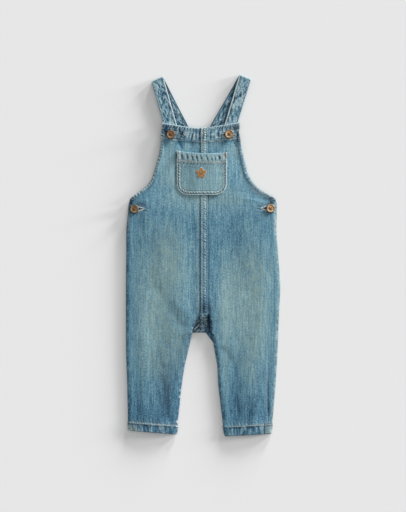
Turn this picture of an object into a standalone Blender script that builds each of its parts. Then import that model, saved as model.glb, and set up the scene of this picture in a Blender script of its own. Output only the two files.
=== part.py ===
"""Baby dungarees in washed denim, laid flat on their back.

The tables and sizes are in millimetres and become metres when a mesh is made. +X is to the right for
someone who looks down at the front, +Y runs from the leg hems to the straps and +Z is up from the
surface. The origin is under the middle of the garment. Left and right are the viewer's.
"""
import math
from collections import namedtuple

import bmesh
import bpy
from mathutils import Matrix, Vector

MM = 0.001

# cloth
CLOTH = 1.1                 # one layer of denim
TURNED = 2.0                # a hem, turned under twice
BACK_HEM = 1.8
STRAP_CLOTH = 1.7           # a strap is two layers, turned in and sewn along both sides
GAP = 0.3                   # between pieces that touch

# whole garment
CENTRE_X = -5.0             # centre seams, a little left of the middle as the garment lies
BIB_TOP = 195.0
BIB_HEM = 24.0
BIB_HALF = 56.0
CENTRE_DIP = 8.2            # how far the bib's top edge sags at the centre
DIP_END_Y = 100.0           # the sag fades out down to here
CROTCH_Y = -111.8
SEAM_END_Y = -84.0          # where the centre front seam dives between the legs
UNDERLAP_END_Y = -80.0      # where the left panel's edge leaves the seam, just above
WEB_WALL = 2.0              # the joined seams at the crotch
WEB_END_Y = -112.6          # below it the fronts turn down to the surface inside the legs
ARMHOLE_Y = 80.0
ARM_HEM = 7.0
LEG_HEM = 12.0
HEM_LEVEL = {"left": -255.5, "right": -259.8}
HEM_SLOPE = {"left": -0.077, "right": 0.060}
HEM_CORNER_X = {"left": -108.0, "right": 99.5}
HEM_TILT_Y = -150.0         # the legs' rows take up the slope of their hems from here down
HEM_TILT_LENGTH = 90.0

# centre front seam: the right panel is folded over the edge of the left one
FELL_LEFT = -4.5
FELL_RIGHT = 6.6
FELL_FOOT = 7.8
UNDERLAP = 5.0              # where the left panel's edge ends inside the seam

# how the front lies: it comes down to the surface at its edges and rises to a plateau inside
CURL = 6.0
SHOULDER = 0.62
RISE = 22.0
WRAP = 0.15                 # height of an edge that is wrapped round the back panel
BACK_INSET = 2.4            # how far the back panel's edge lies inside the front's

Side = namedtuple("Side", "y left right")
SIDES = [
    Side(195.0, -59.2, 53.0),
    Side(177.4, -61.2, 53.7),
    Side(154.0, -62.7, 56.9),
    Side(130.6, -69.0, 62.6),
    Side(118.9, -72.3, 65.9),
    Side(107.3, -77.5, 73.0),
    Side(95.6, -89.6, 84.5),
    Side(85.0, -104.0, 102.6),
    Side(80.0, -107.8, 107.2),
    Side(60.5, -110.3, 107.8),
    Side(37.2, -112.3, 107.4),
    Side(2.1, -112.4, 109.9),
    Side(-44.6, -112.9, 112.9),
    Side(-91.3, -112.9, 110.9),
    Side(-138.0, -112.8, 109.1),
    Side(-184.7, -111.2, 106.4),
    Side(-219.8, -110.4, 103.6),
    Side(-243.1, -109.7, 101.4),
    Side(-264.0, -107.6, 99.2),
]

Inseam = namedtuple("Inseam", "y left right")
INSEAMS = [
    Inseam(-79.0, -4.8, 8.6),
    Inseam(-90.6, -5.4, 10.2),
    Inseam(-97.0, -11.2, 11.0),
    Inseam(-106.0, -14.8, 12.5),
    Inseam(-112.0, -16.4, 13.4),
    Inseam(-121.0, -17.6, 14.9),
    Inseam(-138.0, -21.4, 16.6),
    Inseam(-161.4, -26.9, 20.7),
    Inseam(-184.7, -30.8, 21.9),
    Inseam(-208.0, -33.4, 24.6),
    Inseam(-231.5, -36.0, 27.5),
    Inseam(-254.8, -38.4, 30.9),
    Inseam(-264.0, -40.4, 34.6),
]

# height of the front's edges, and of its middle, above the surface
Rest = namedtuple("Rest", "y side left_inseam right_inseam plateau")
RESTS = [
    Rest(195.0, 4.15, 2.4, 2.4, 4.3),
    Rest(163.0, 4.10, 2.4, 2.4, 4.3),
    Rest(142.0, 1.60, 2.4, 2.4, 4.3),
    Rest(86.0, 1.50, 2.4, 2.4, 4.3),
    Rest(79.0, WRAP, 2.4, 2.4, 4.2),
    Rest(40.0, WRAP, 2.4, 2.4, 4.0),
    Rest(WEB_END_Y, WRAP, 2.4, 2.4, 4.0),
    Rest(WEB_END_Y - 2.5, WRAP, WRAP, 1.7, 4.0),
    Rest(-131.0, WRAP, WRAP, 1.7, 3.9),
    Rest(-136.0, WRAP, WRAP, WRAP, 3.9),
    Rest(-200.0, WRAP, WRAP, WRAP, 3.7),
    Rest(-264.0, WRAP, WRAP, WRAP, 3.5),
]

# the largest folds: a ridge has a positive height and a trough a negative one
Fold = namedtuple("Fold", "x0 y0 x1 y1 width height")
FOLDS = [
    Fold(-74, 70, -62, -20, 15, 0.5),
    Fold(62, 66, 66, -30, 15, 0.5),
    Fold(-14, 50, -15, -70, 6, -0.3),
    Fold(-67, -50, -31, -104, 8, -0.7),
    Fold(-22, -84, -58, -66, 9, 0.4),
    Fold(20, -90, 58, -64, 9, 0.5),
    Fold(-55, -165, -57, -232, 9, -0.6),
    Fold(-84, -125, -86, -230, 11, 0.5),
    Fold(51, -158, 52, -232, 9, -0.6),
    Fold(76, -120, 73, -240, 11, 0.5),
]

# back panels above the side openings, inside the outline of the front
BACK_TOP = 170.0
BACKS = [
    Side(170.0, -34.0, 24.0),
    Side(152.0, -37.0, 27.0),
    Side(136.0, -43.0, 34.0),
    Side(120.0, -53.0, 46.0),
    Side(106.0, -66.0, 62.0),
    Side(95.0, -80.0, 76.0),
    Side(86.0, -97.0, 95.0),
    Side(80.0, -105.4, 104.8),
]
BACK_CROTCH = [
    Inseam(CROTCH_Y, CENTRE_X - GAP / 2, CENTRE_X + GAP / 2),
    Inseam(-112.4, -18.8, 4.2),
    Inseam(-128.0, -21.5, 15.9),
    Inseam(-134.0, -22.9, 18.6),
]

# bib pocket
POCKET_LEFT = -38.6
POCKET_RIGHT = 34.8
POCKET_BOTTOM = 89.0
POCKET_TOP = 152.6
POCKET_HEM = 14.5
POCKET_RADIUS = 17.0
POCKET_SAG = 2.6            # how far its top edge hangs open at the middle
POCKET_LEAN = -0.033        # its left corner sits higher

# straps: the front run goes under the bib, the back run to the top of the back panels
STRAP_WIDTH = 18.3
STRAP_TURN = 1.15           # radius of the turn over the shoulder
STRAP_FRONT_REACH = 34.0    # length hidden under the bib
STRAP_LAP = 12.0            # length that lies on the back panels
STRAP_EASE = 12.0           # length over which a run's square section turns to the crease
STRAP_TURN_STEPS = [1.5, 5.0, 9.0, 14.0]
STRAP_LOW = STRAP_CLOTH / 2
STRAP_FRONT_HIGH = STRAP_LOW + 2 * STRAP_TURN
STRAP_BIB_HIGH = 2.95
STRAP_SEAM_HIGH = CLOTH + GAP + STRAP_CLOTH / 2 + 0.05
Strap = namedtuple("Strap", "name turn_x turn_y tilt bib_x bib_y back_x back_y")
STRAPS = [
    Strap("strap_left", -66.3, 256.6, 25.0, -48.6, 194.5, -18.1, 163.0),
    Strap("strap_right", 60.9, 259.6, -24.0, 41.6, 195.0, 5.5, 163.0),
]

# four-hole buttons, each in the outer end of its buttonhole
BUTTON_RADIUS = 6.35
BUTTON_HEIGHT = 2.5
BUTTON_RIM = 1.5
BUTTON_DISH = 0.7
BUTTON_HOLE = 0.75
BUTTON_PITCH = 1.25
BUTTON_STEPS = 24
SHANK_RADIUS = 0.95
SHANK_STEPS = 10
SLOT_LENGTH = 15.0
SLOT_WIDTH = 2.6
SLOT_DEPTH = 12.0
SLOT_END = 2.2              # from the button's centre to the outer end of its slot
Button = namedtuple("Button", "name x y panel under inward")
BUTTONS = [
    Button("button_bib_left", -46.9, 177.5, "front_left", 3.85, 1),
    Button("button_bib_right", 38.2, 177.9, "front_right", 3.85, -1),
    Button("button_side_left", -100.1, 68.7, "front_left", CLOTH, 1),
    Button("button_side_right", 98.6, 69.7, "front_right", CLOTH, -1),
]

Finish = namedtuple("Finish", "name red green blue roughness")
DENIM = Finish("washed denim", 0.19, 0.30, 0.36, 0.9)
DENIM_BACK = Finish("washed denim, back", 0.15, 0.25, 0.32, 0.9)
DENIM_STRAP = Finish("washed denim, strap", 0.13, 0.22, 0.29, 0.9)
DENIM_POCKET = Finish("washed denim, pocket", 0.16, 0.27, 0.33, 0.9)
HORN_LIGHT = Finish("light horn", 0.50, 0.31, 0.16, 0.45)
HORN_DARK = Finish("dark horn", 0.28, 0.14, 0.07, 0.45)


def table_value(table, y, column):
    """Read a table at y, on a smooth curve through its rows."""
    rows = sorted(table, key=lambda row: row.y)
    ys = [row.y for row in rows]
    values = [getattr(row, column) for row in rows]
    if y <= ys[0]:
        return values[0]
    if y >= ys[-1]:
        return values[-1]
    here = max(i for i, at in enumerate(ys[:-1]) if at <= y)

    def slope(i):
        low, high = max(i - 1, 0), min(i + 1, len(ys) - 1)
        return (values[high] - values[low]) / (ys[high] - ys[low])

    span = ys[here + 1] - ys[here]
    t = (y - ys[here]) / span
    start = values[here] * (1 + 2 * t) * (1 - t) ** 2 + slope(here) * span * t * (1 - t) ** 2
    end = values[here + 1] * t * t * (3 - 2 * t) - slope(here + 1) * span * t * t * (1 - t)
    return start + end


def table_line(table, y, column):
    """Read a table at y, on straight lines between its rows."""
    rows = sorted(table, key=lambda row: row.y)
    for low, high in zip(rows, rows[1:]):
        if y <= high.y:
            t = max(0.0, (y - low.y) / (high.y - low.y))
            return getattr(low, column) * (1 - t) + getattr(high, column) * t
    return getattr(rows[-1], column)


def smoothstep(t):
    t = min(max(t, 0.0), 1.0)
    return t * t * (3 - 2 * t)


def spread(start, end, step):
    """Evenly spaced values from start up to, but without, end."""
    count = max(1, round(abs(end - start) / step))
    return [start + (end - start) * i / count for i in range(count)]


def edge_slant(half, y):
    """How much longer a width is along X than square to the garment's side edge."""
    lean = table_value(SIDES, y + 1, half) - table_value(SIDES, y - 1, half)
    return min(math.hypot(1, lean / 2), 1.9)


def wrap_inset(rest, plateau):
    """The cloth's own thickness, where its edge turns down and its outside makes the outline."""
    drop = (plateau - rest) / (plateau - WRAP)
    return CLOTH * min(max(drop, 0.0), 1.0)


def side_edge(half, y):
    """X of the front's inner surface at its side edge."""
    inset = wrap_inset(table_line(RESTS, y, "side"), table_line(RESTS, y, "plateau"))
    inward = 1 if half == "left" else -1
    return table_value(SIDES, y, half) + inward * inset


def inseam_edge(half, y):
    """X of the front's inner surface at the inside of the leg."""
    rest = table_line(RESTS, y, half + "_inseam")
    inset = wrap_inset(rest, table_line(RESTS, y, "plateau"))
    outward = -1 if half == "left" else 1
    return table_value(INSEAMS, y, half) + outward * inset


def rise(distance, rest, plateau):
    """Height at a distance from an edge: a tight turn and then a gentle slope to the plateau."""
    if distance < CURL:
        share = SHOULDER * math.sqrt(max(0.0, 1 - (1 - max(distance, 0.0) / CURL) ** 2))
    else:
        share = SHOULDER + (1 - SHOULDER) * smoothstep((distance - CURL) / RISE)
    return rest + (plateau - rest) * share


def fold_height(x, y):
    """Sum of the folds at a point; the bib is smooth."""
    total = 0.0
    for fold in FOLDS:
        start, along = Vector((fold.x0, fold.y0)), Vector((fold.x1 - fold.x0, fold.y1 - fold.y0))
        t = min(max((Vector((x, y)) - start).dot(along) / along.length_squared, 0.0), 1.0)
        away = (Vector((x, y)) - start - along * t).length / fold.width
        total += fold.height * math.exp(-away * away)
    return total * smoothstep((ARMHOLE_Y + 5 - y) / 25)


def front_underside(x, y):
    """Height of the front cloth's inner surface; y is the level of a row before it bends."""
    half = "left" if x < CENTRE_X else "right"
    plateau = table_line(RESTS, y, "plateau")
    distance = abs(x - side_edge(half, y)) / edge_slant(half, y)
    height = rise(distance, table_line(RESTS, y, "side"), plateau)
    if y < UNDERLAP_END_Y:
        inner = abs(x - inseam_edge(half, y))
        height = min(height, rise(inner, table_line(RESTS, y, half + "_inseam"), plateau))
        distance = min(distance, inner)
    return height + fold_height(x, y) * smoothstep(distance / 18)


def bib_bend(x, level):
    """How far a row of the bib dips below its level, towards the centre."""
    dip = CENTRE_DIP * (min(1.0, abs(x - CENTRE_X) / BIB_HALF) ** 1.3 - 1)
    return dip * max(0.0, (level - DIP_END_Y) / (BIB_TOP - DIP_END_Y)) ** 1.5


def hem_bend(half, x, level):
    """How far a row of the leg follows the tilt of its hem."""
    share = smoothstep((HEM_TILT_Y - level) / HEM_TILT_LENGTH)
    return HEM_SLOPE[half] * (x - HEM_CORNER_X[half]) * share


def row_y(half, x, level):
    return level + bib_bend(x, level) + hem_bend(half, x, level)


def front_levels(half):
    """Rows of a front panel, with a close pair where its thickness steps at a hem."""
    hem, step = HEM_LEVEL[half], 0.6
    bib_line, leg_line = BIB_TOP - BIB_HEM, hem + LEG_HEM
    levels = [BIB_TOP, BIB_TOP - 11, bib_line + step, bib_line - step]
    levels += spread(bib_line - 11, 112, 11)
    levels += spread(112, ARMHOLE_Y, 5.3)
    levels += spread(ARMHOLE_Y, -76, 15.6)
    levels += [-76, UNDERLAP_END_Y + 1, UNDERLAP_END_Y - 0.5, SEAM_END_Y, SEAM_END_Y - 1.5]
    levels += spread(SEAM_END_Y - 6, WEB_END_Y, 5.6)
    levels += [WEB_END_Y, WEB_END_Y - 2.5]
    levels += spread(WEB_END_Y - 7.5, -136, 5.3)
    levels += spread(-136, leg_line + 4, 15)
    levels += [leg_line + step, leg_line - step, hem + 5, hem]
    return levels


def front_columns(half, level):
    """X of each column of a front panel at one row, from its side edge to the centre."""
    inward = 1 if half == "left" else -1
    slant = edge_slant(half, level)
    outer = side_edge(half, level)
    if half == "left" and level > UNDERLAP_END_Y:
        inner, offsets = UNDERLAP, (16.0, 9.3, 4.8, 0.0)
    elif half == "right" and level >= SEAM_END_Y:
        inner, offsets = FELL_LEFT, (20.0, FELL_FOOT - FELL_LEFT, FELL_RIGHT - FELL_LEFT, 0.0)
    else:
        inner, offsets = inseam_edge(half, level), (8.0, 2.8, 1.0, 0.0)
    columns = [outer + inward * at * slant for at in (0.0, 1.0, 2.8, ARM_HEM, ARM_HEM + 1, 15.0)]
    last = inner - inward * offsets[0]
    columns += [columns[-1] + (last - columns[-1]) * k / 4 for k in (1, 2, 3)]
    columns += [inner - inward * at for at in offsets]
    return columns


def front_wall(half, x, level):
    """Thickness of a front panel at a column of a row."""
    if level > BIB_TOP - BIB_HEM or level < HEM_LEVEL[half] + LEG_HEM:
        return TURNED
    to_side = abs(x - side_edge(half, level)) / edge_slant(half, level)
    if level > ARMHOLE_Y and to_side < ARM_HEM + 0.5:
        return TURNED
    return CLOTH


def cloth_surface(name, rows, walls, finish):
    """A closed piece of cloth from rows of points on its lower surface and the wall at each point."""
    mesh = bpy.data.meshes.new(name)
    part = bmesh.new()
    grid = [[part.verts.new(point * MM) for point in row] for row in rows]
    for upper, lower in zip(grid, grid[1:]):
        for k in range(len(upper) - 1):
            part.faces.new((upper[k], lower[k], lower[k + 1], upper[k + 1]))
    part.to_mesh(mesh)
    part.free()
    piece = bpy.data.objects.new(name, mesh)
    garment.objects.link(piece)
    thickest = max(max(row) for row in walls)
    group = piece.vertex_groups.new(name="wall")
    flat = [wall for row in walls for wall in row]
    for index, wall in enumerate(flat):
        group.add([index], wall / thickest, "REPLACE")
    shell = piece.modifiers.new("Wall", "SOLIDIFY")
    shell.thickness = thickest * MM
    shell.offset = 1.0
    shell.vertex_group = group.name
    shell.thickness_vertex_group = 0.0
    set_finish(piece, finish)
    return piece


def set_finish(piece, finish):
    material = bpy.data.materials.get(finish.name)
    if material is None:
        material = bpy.data.materials.new(finish.name)
        material.use_nodes = True
        shader = material.node_tree.nodes["Principled BSDF"]
        shader.inputs["Base Color"].default_value = (finish.red, finish.green, finish.blue, 1.0)
        shader.inputs["Roughness"].default_value = finish.roughness
        shader.inputs["Metallic"].default_value = 0.0
    piece.data.materials.append(material)


def make_front(half):
    """Bib, body and leg in one piece, thicker along its hems."""
    rows, walls = [], []
    for level in front_levels(half):
        row, wall_row = [], []
        for x in front_columns(half, level):
            y = row_y(half, x, level)
            height = front_underside(x, level)
            wall = front_wall(half, x, level)
            if half == "right" and x < FELL_RIGHT + 0.1:
                height += wall + GAP
                wall = CLOTH
            row.append(Vector((x, y, height)))
            wall_row.append(wall)
        if half == "right":
            row.reverse()
            wall_row.reverse()
        rows.append(row)
        walls.append(wall_row)
    return cloth_surface("front_" + half, rows, walls, DENIM)


def back_levels(half):
    hem, step = HEM_LEVEL[half], 0.6
    leg_line = hem + LEG_HEM
    levels = spread(BACK_TOP, 112, 12)
    levels += spread(112, ARMHOLE_Y, 5.3)
    levels += spread(ARMHOLE_Y, -84, 20)
    levels += [-84, -86, -98, CROTCH_Y, -112.4, -117, -122.5, -128, -134]
    levels += spread(-148, leg_line + 4, 20)
    levels += [leg_line + step, leg_line - step, hem]
    return levels


def back_columns(half, level):
    """X of each column of a back panel at one row, from its side edge to the centre."""
    inward = 1 if half == "left" else -1
    if level >= ARMHOLE_Y:
        outer = table_value(BACKS, level, half)
    else:
        outer = table_value(SIDES, level, half) + inward * BACK_INSET
    if level >= -134:
        inner = table_line(BACK_CROTCH, level, half)
    else:
        inner = table_value(INSEAMS, level, half) - inward * BACK_INSET
    columns = [outer + inward * at for at in (0.0, 5.0, 6.0)]
    last = inner - inward * 13.0
    columns += [columns[-1] + (last - columns[-1]) * k / 3 for k in (1, 2)]
    columns += [inner - inward * at for at in (13.0, 11.5, 5.0, 0.0)]
    return columns


def make_back(half):
    """Back panel, flat underneath, thicker along the leg hem and at the crotch."""
    rows, walls = [], []
    for level in back_levels(half):
        columns = back_columns(half, level)
        row = [Vector((x, level + hem_bend(half, x, level), 0.0)) for x in columns]
        wall_row = [CLOTH] * len(columns)
        if level < HEM_LEVEL[half] + LEG_HEM:
            wall_row = [CLOTH, CLOTH] + [BACK_HEM] * (len(columns) - 4) + [CLOTH, CLOTH]
        if CROTCH_Y - 0.1 < level < -85:
            wall_row[-3:] = [WEB_WALL] * 3
        if half == "right":
            row.reverse()
            wall_row.reverse()
        rows.append(row)
        walls.append(wall_row)
    return cloth_surface("back_" + half, rows, walls, DENIM_BACK)


def pocket_rows():
    """Heights above the pocket's lower edge: close round the corners and at the hem."""
    line, height = POCKET_TOP - POCKET_HEM - POCKET_BOTTOM, POCKET_TOP - POCKET_BOTTOM
    corner = [POCKET_RADIUS * (1 - math.cos(math.radians(angle))) for angle in (0, 20, 40, 62, 90)]
    return corner + [30.0, line - 0.6, line + 0.6, height - 5, height]


def make_pocket():
    """Patch pocket, laid over the bib's outer surface and the centre seam."""
    centre, half = (POCKET_LEFT + POCKET_RIGHT) / 2, (POCKET_RIGHT - POCKET_LEFT) / 2
    low = front_underside(CENTRE_X, 120) + CLOTH + GAP
    seam = CLOTH + GAP
    rows, walls = [], []
    for above in reversed(pocket_rows()):
        cut = max(0.0, POCKET_RADIUS - above)
        reach = half - POCKET_RADIUS + math.sqrt(POCKET_RADIUS ** 2 - cut ** 2)
        left, right = centre - reach, centre + reach
        columns = [left, left + 2, left + reach * 0.3, FELL_LEFT - 2.6, FELL_LEFT - 0.8,
                   FELL_RIGHT + 0.8, FELL_FOOT + 1.6, right - reach * 0.3, right - 2, right]
        row = []
        for x in columns:
            share = above / (POCKET_TOP - POCKET_BOTTOM)
            hang = POCKET_SAG * (1 - ((x - centre) / half) ** 2) - POCKET_LEAN * (x - centre)
            over_seam = FELL_LEFT - 1 < x < FELL_RIGHT + 1
            row.append(Vector((x, POCKET_BOTTOM + above - hang * share, low + seam * over_seam)))
        rows.append(row)
        in_hem = above > POCKET_TOP - POCKET_HEM - POCKET_BOTTOM
        walls.append([TURNED if in_hem else CLOTH] * len(columns))
    return cloth_surface("pocket", rows, walls, DENIM_POCKET)


def strap_sections(strap):
    """Centre, half width and direction of thickness of each section, from the front end to the back."""
    turn = Vector((strap.turn_x, strap.turn_y))
    bib, back = Vector((strap.bib_x, strap.bib_y)), Vector((strap.back_x, strap.back_y))
    down_front, down_back = (bib - turn).normalized(), (back - turn).normalized()
    crease = Vector((math.cos(math.radians(strap.tilt)), math.sin(math.radians(strap.tilt))))
    half = STRAP_WIDTH / 2
    crease_width = crease.dot(Vector((-down_front.y, down_front.x)))

    def section(direction, along, height):
        square = Vector((-direction.y, direction.x))
        if square.dot(crease) < 0:
            square.negate()
        share = smoothstep(along / STRAP_EASE)
        across = (crease * (1 - share) + square * share).normalized()
        centre = turn + direction * along
        return Vector((centre.x, centre.y, height)), across * half / across.dot(square)

    front_length, back_length = (bib - turn).length, (back - turn).length
    full_length = front_length + STRAP_FRONT_REACH
    sections = []
    for along in reversed(STRAP_TURN_STEPS + spread(22, full_length, 13) + [full_length]):
        share = min(1.0, along / front_length)
        height = STRAP_FRONT_HIGH + (STRAP_BIB_HIGH - STRAP_FRONT_HIGH) * share
        sections.append(section(down_front, along, height))
    over = Vector((-crease.y, crease.x)) * STRAP_TURN
    for degrees in (60, 30, 0, -30, -60):
        angle = math.radians(degrees)
        centre = turn + over * math.cos(angle)
        height = STRAP_LOW + STRAP_TURN * (1 + math.sin(angle))
        sections.append((Vector((centre.x, centre.y, height)), crease * half / crease_width))
    lift = [back_length - STRAP_LAP - 8, back_length - STRAP_LAP, back_length]
    for along in STRAP_TURN_STEPS + spread(22, lift[0], 14) + lift:
        height = STRAP_LOW if along <= lift[0] else STRAP_SEAM_HIGH
        sections.append(section(down_back, along, height))
    return sections


def make_strap(strap):
    """A flat strap turned over at the shoulder; its two runs lie one on the other."""
    rows = []
    for centre, across in strap_sections(strap):
        side = Vector((across.x, across.y, 0.0))
        rows.append([centre - side, centre, centre + side])
    walls = [[STRAP_CLOTH] * 3 for _ in rows]
    piece = cloth_surface(strap.name, rows, walls, DENIM_STRAP)
    piece.modifiers["Wall"].offset = 0.0
    return piece


def make_cutter(name, shape_maker):
    """Run a primitive and keep the object as a hidden cutter."""
    shape_maker()
    cutter = bpy.context.active_object
    cutter.name = name
    for collection in cutter.users_collection:
        collection.objects.unlink(cutter)
    cutters.objects.link(cutter)
    cutter.hide_render = True
    cutter.display_type = "WIRE"
    return cutter


def cut(piece, cutter, operation="DIFFERENCE"):
    boolean = piece.modifiers.new("Cut " + cutter.name, "BOOLEAN")
    boolean.operation = operation
    boolean.solver = "EXACT"
    boolean.object = cutter


def front_normal(x, y):
    """Direction square to the front at a button, over the button's own width."""
    reach = BUTTON_RADIUS
    along_x = front_underside(x + reach, y) - front_underside(x - reach, y)
    return Vector((-along_x / (2 * reach), 0.0, 1.0)).normalized()


def button_profile():
    """Half section from the middle of the top, over the rim and under, to the foot of the shank."""
    top, rim = BUTTON_HEIGHT, BUTTON_RADIUS - BUTTON_RIM
    return [(0.0, top - BUTTON_DISH), (rim * 0.75, top - BUTTON_DISH), (rim, top - 0.15), (rim + 0.5, top),
            (BUTTON_RADIUS - 0.35, top - 0.3), (BUTTON_RADIUS, top - 0.95), (BUTTON_RADIUS - 0.2, 0.5),
            (BUTTON_RADIUS - 0.9, 0.0), (0.0, 0.0)]


def make_button(button, wall, finish):
    """A turned button with four holes; its thread shank goes down through the buttonhole."""
    seat = front_underside(button.x, button.y) + wall + GAP + 0.1
    shank = seat - button.under - GAP - 0.1
    profile = bpy.data.meshes.new(button.name)
    points = [(radius * MM, 0.0, height * MM) for radius, height in button_profile()]
    profile.from_pydata(points, [(i, i + 1) for i in range(len(points) - 1)], [])
    piece = bpy.data.objects.new(button.name, profile)
    garment.objects.link(piece)
    turn = piece.modifiers.new("Turned", "SCREW")
    turn.steps = BUTTON_STEPS
    turn.render_steps = BUTTON_STEPS
    turn.use_merge_vertices = True
    turn.merge_threshold = 0.0001
    turn.use_normal_calculate = True
    tilt = Vector((0, 0, 1)).rotation_difference(front_normal(button.x, button.y))
    place = Matrix.Translation(Vector((button.x, button.y, seat)) * MM) @ tilt.to_matrix().to_4x4()
    piece.matrix_world = place
    for sign_x in (-1, 1):
        for sign_y in (-1, 1):
            hole = make_cutter("%s_hole_%d%d" % (button.name, sign_x > 0, sign_y > 0), lambda: (
                bpy.ops.mesh.primitive_cylinder_add(vertices=8, radius=BUTTON_HOLE * MM, depth=8 * MM)))
            hole.matrix_world = place @ Matrix.Translation(
                Vector((sign_x * BUTTON_PITCH, sign_y * BUTTON_PITCH, 1.0)) * MM)
            cut(piece, hole)
    stem = make_cutter(button.name + "_shank", lambda: bpy.ops.mesh.primitive_cylinder_add(
        vertices=SHANK_STEPS, radius=SHANK_RADIUS * MM, depth=(shank + 0.5) * MM))
    stem.matrix_world = place @ Matrix.Translation(Vector((0, 0, 0.5 - (shank + 0.5) / 2)) * MM)
    cut(piece, stem, "UNION")
    set_finish(piece, finish)
    return piece


def cut_buttonhole(panel, button):
    """A slot through the front panel, from just outside the button's shank towards the centre."""
    middle = button.x + button.inward * (SLOT_LENGTH / 2 - SLOT_END)
    slot = make_cutter(button.name + "_slot", lambda: bpy.ops.mesh.primitive_cube_add(size=1.0))
    size = Vector((SLOT_LENGTH, SLOT_WIDTH, SLOT_DEPTH)) * MM
    place = Matrix.Translation(Vector((middle, button.y, SLOT_DEPTH / 2 - 1)) * MM)
    slot.matrix_world = place @ Matrix.Diagonal(size).to_4x4()
    cut(panel, slot)


for old in list(bpy.data.objects):
    bpy.data.objects.remove(old, do_unlink=True)

garment = bpy.data.collections.new("dungarees")
cutters = bpy.data.collections.new("cutters")
bpy.context.scene.collection.children.link(garment)
bpy.context.scene.collection.children.link(cutters)

panels = {"front_" + half: make_front(half) for half in ("left", "right")}
for half in ("left", "right"):
    make_back(half)
make_pocket()
for strap in STRAPS:
    make_strap(strap)
for button in BUTTONS:
    on_bib = button.y > ARMHOLE_Y
    finish = HORN_DARK if button.name == "button_bib_left" else HORN_LIGHT
    make_button(button, TURNED if on_bib else CLOTH, finish)
    cut_buttonhole(panels[button.panel], button)
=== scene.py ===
"""Baby dungarees in washed denim, laid flat on their back with the straps turned over at the shoulder.

Sizes are in millimetres until a mesh is made. +X is to the right for someone who looks down at the front,
+Y runs from the leg hems to the straps and +Z is up from the surface. Left and right are the viewer's.
"""
import math
from collections import namedtuple

import bmesh
import bpy
import numpy as np
from mathutils import Matrix, Vector
from mathutils.bvhtree import BVHTree


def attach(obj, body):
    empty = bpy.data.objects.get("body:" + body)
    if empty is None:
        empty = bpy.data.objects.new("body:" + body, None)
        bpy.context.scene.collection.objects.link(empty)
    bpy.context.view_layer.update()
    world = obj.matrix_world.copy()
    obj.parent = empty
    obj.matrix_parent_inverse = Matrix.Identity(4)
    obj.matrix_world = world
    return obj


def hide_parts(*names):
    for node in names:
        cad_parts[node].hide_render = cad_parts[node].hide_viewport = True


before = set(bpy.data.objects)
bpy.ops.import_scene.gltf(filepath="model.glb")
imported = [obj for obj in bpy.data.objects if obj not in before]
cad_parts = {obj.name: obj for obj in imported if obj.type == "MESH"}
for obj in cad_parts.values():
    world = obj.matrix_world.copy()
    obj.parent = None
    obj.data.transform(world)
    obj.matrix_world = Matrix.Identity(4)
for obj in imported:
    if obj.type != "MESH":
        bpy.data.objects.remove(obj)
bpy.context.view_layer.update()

# ------------------------------------------------------------
# Front panels: two pieces of stonewashed indigo denim, each with its half of the bib, the body and one leg.
# The bib's top, the armholes and the leg hems are turned under twice and sewn, and washing has drawn them
# into puckers. Down the middle the right panel's edge is folded over the left one's and sewn twice.
# ------------------------------------------------------------
MM = 0.001
CLOTH = 1.1                 # one layer of denim
TURNED = 2.0                # a hem, turned under twice
GAP = 0.3                   # between pieces that touch

CENTRE_X = -5.0
BIB_TOP = 195.0
BIB_HEM = 24.0
BIB_HALF = 56.0
CENTRE_DIP = 8.2            # how far the bib's top edge sags at the centre
DIP_END_Y = 100.0
LOW_ARM_Y = 116.0           # from here down the armholes flare out to the sides
SEAM_END_Y = -84.0
UNDERLAP_END_Y = -80.0
LEG_START_Y = -71.0         # from here down the cloth starts to round towards the inside of the legs
WEB_END_Y = -112.6
CLOSE_ROWS_END_Y = -136.0   # down to here the rows of the front's grid are closer together
ARMHOLE_Y = 80.0
ARM_HEM = 3.8
ARM_ROW = 2.7               # from the armhole's edge to its row of stitches
LEG_ROW = 1.4               # from the top of a leg's hem down to its row of stitches
LEG_HEM = {"left": 13.6, "right": 15.2}
HEM_LEVEL = {"left": -255.5, "right": -259.8}
HEM_SLOPE = {"left": -0.077, "right": 0.060}
HEM_CORNER_X = {"left": -108.0, "right": 99.5}
HEM_TILT_Y = -150.0
HEM_TILT_LENGTH = 90.0
INWARD = {"left": 1, "right": -1}
PLAIN_HEM_END_X = 37.0      # the right leg's hem isn't sewn from here to the inside leg
SIDE_PATCH_X = 89.4         # and from here out it has a patch over the outer seam

FELL_LEFT = -4.5
FELL_RIGHT = 6.6
FELL_FOOT = 7.3
FELL_ROWS = (-1.4, 4.3)     # X of its two rows of stitches
LAP_EDGE = {"left": 5.0, "right": FELL_LEFT}
LAP_END = {"left": UNDERLAP_END_Y, "right": SEAM_END_Y}
LAP_SHARES = np.array([k / 22 for k in range(22)] + [0.975, 0.99, 1.0])    # its columns
POCKET_BOTTOM = 89.0
POCKET_TOP = 152.6
POCKET_LEFT = -38.6

CURL = 6.0                  # the cloth turns up within this distance of its edge
SHOULDER = 0.62             # to this share of its height
RISE = 22.0                 # and comes up to all of it over this further distance
WRAP = 0.15                 # height of an edge that goes round to the back

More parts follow.
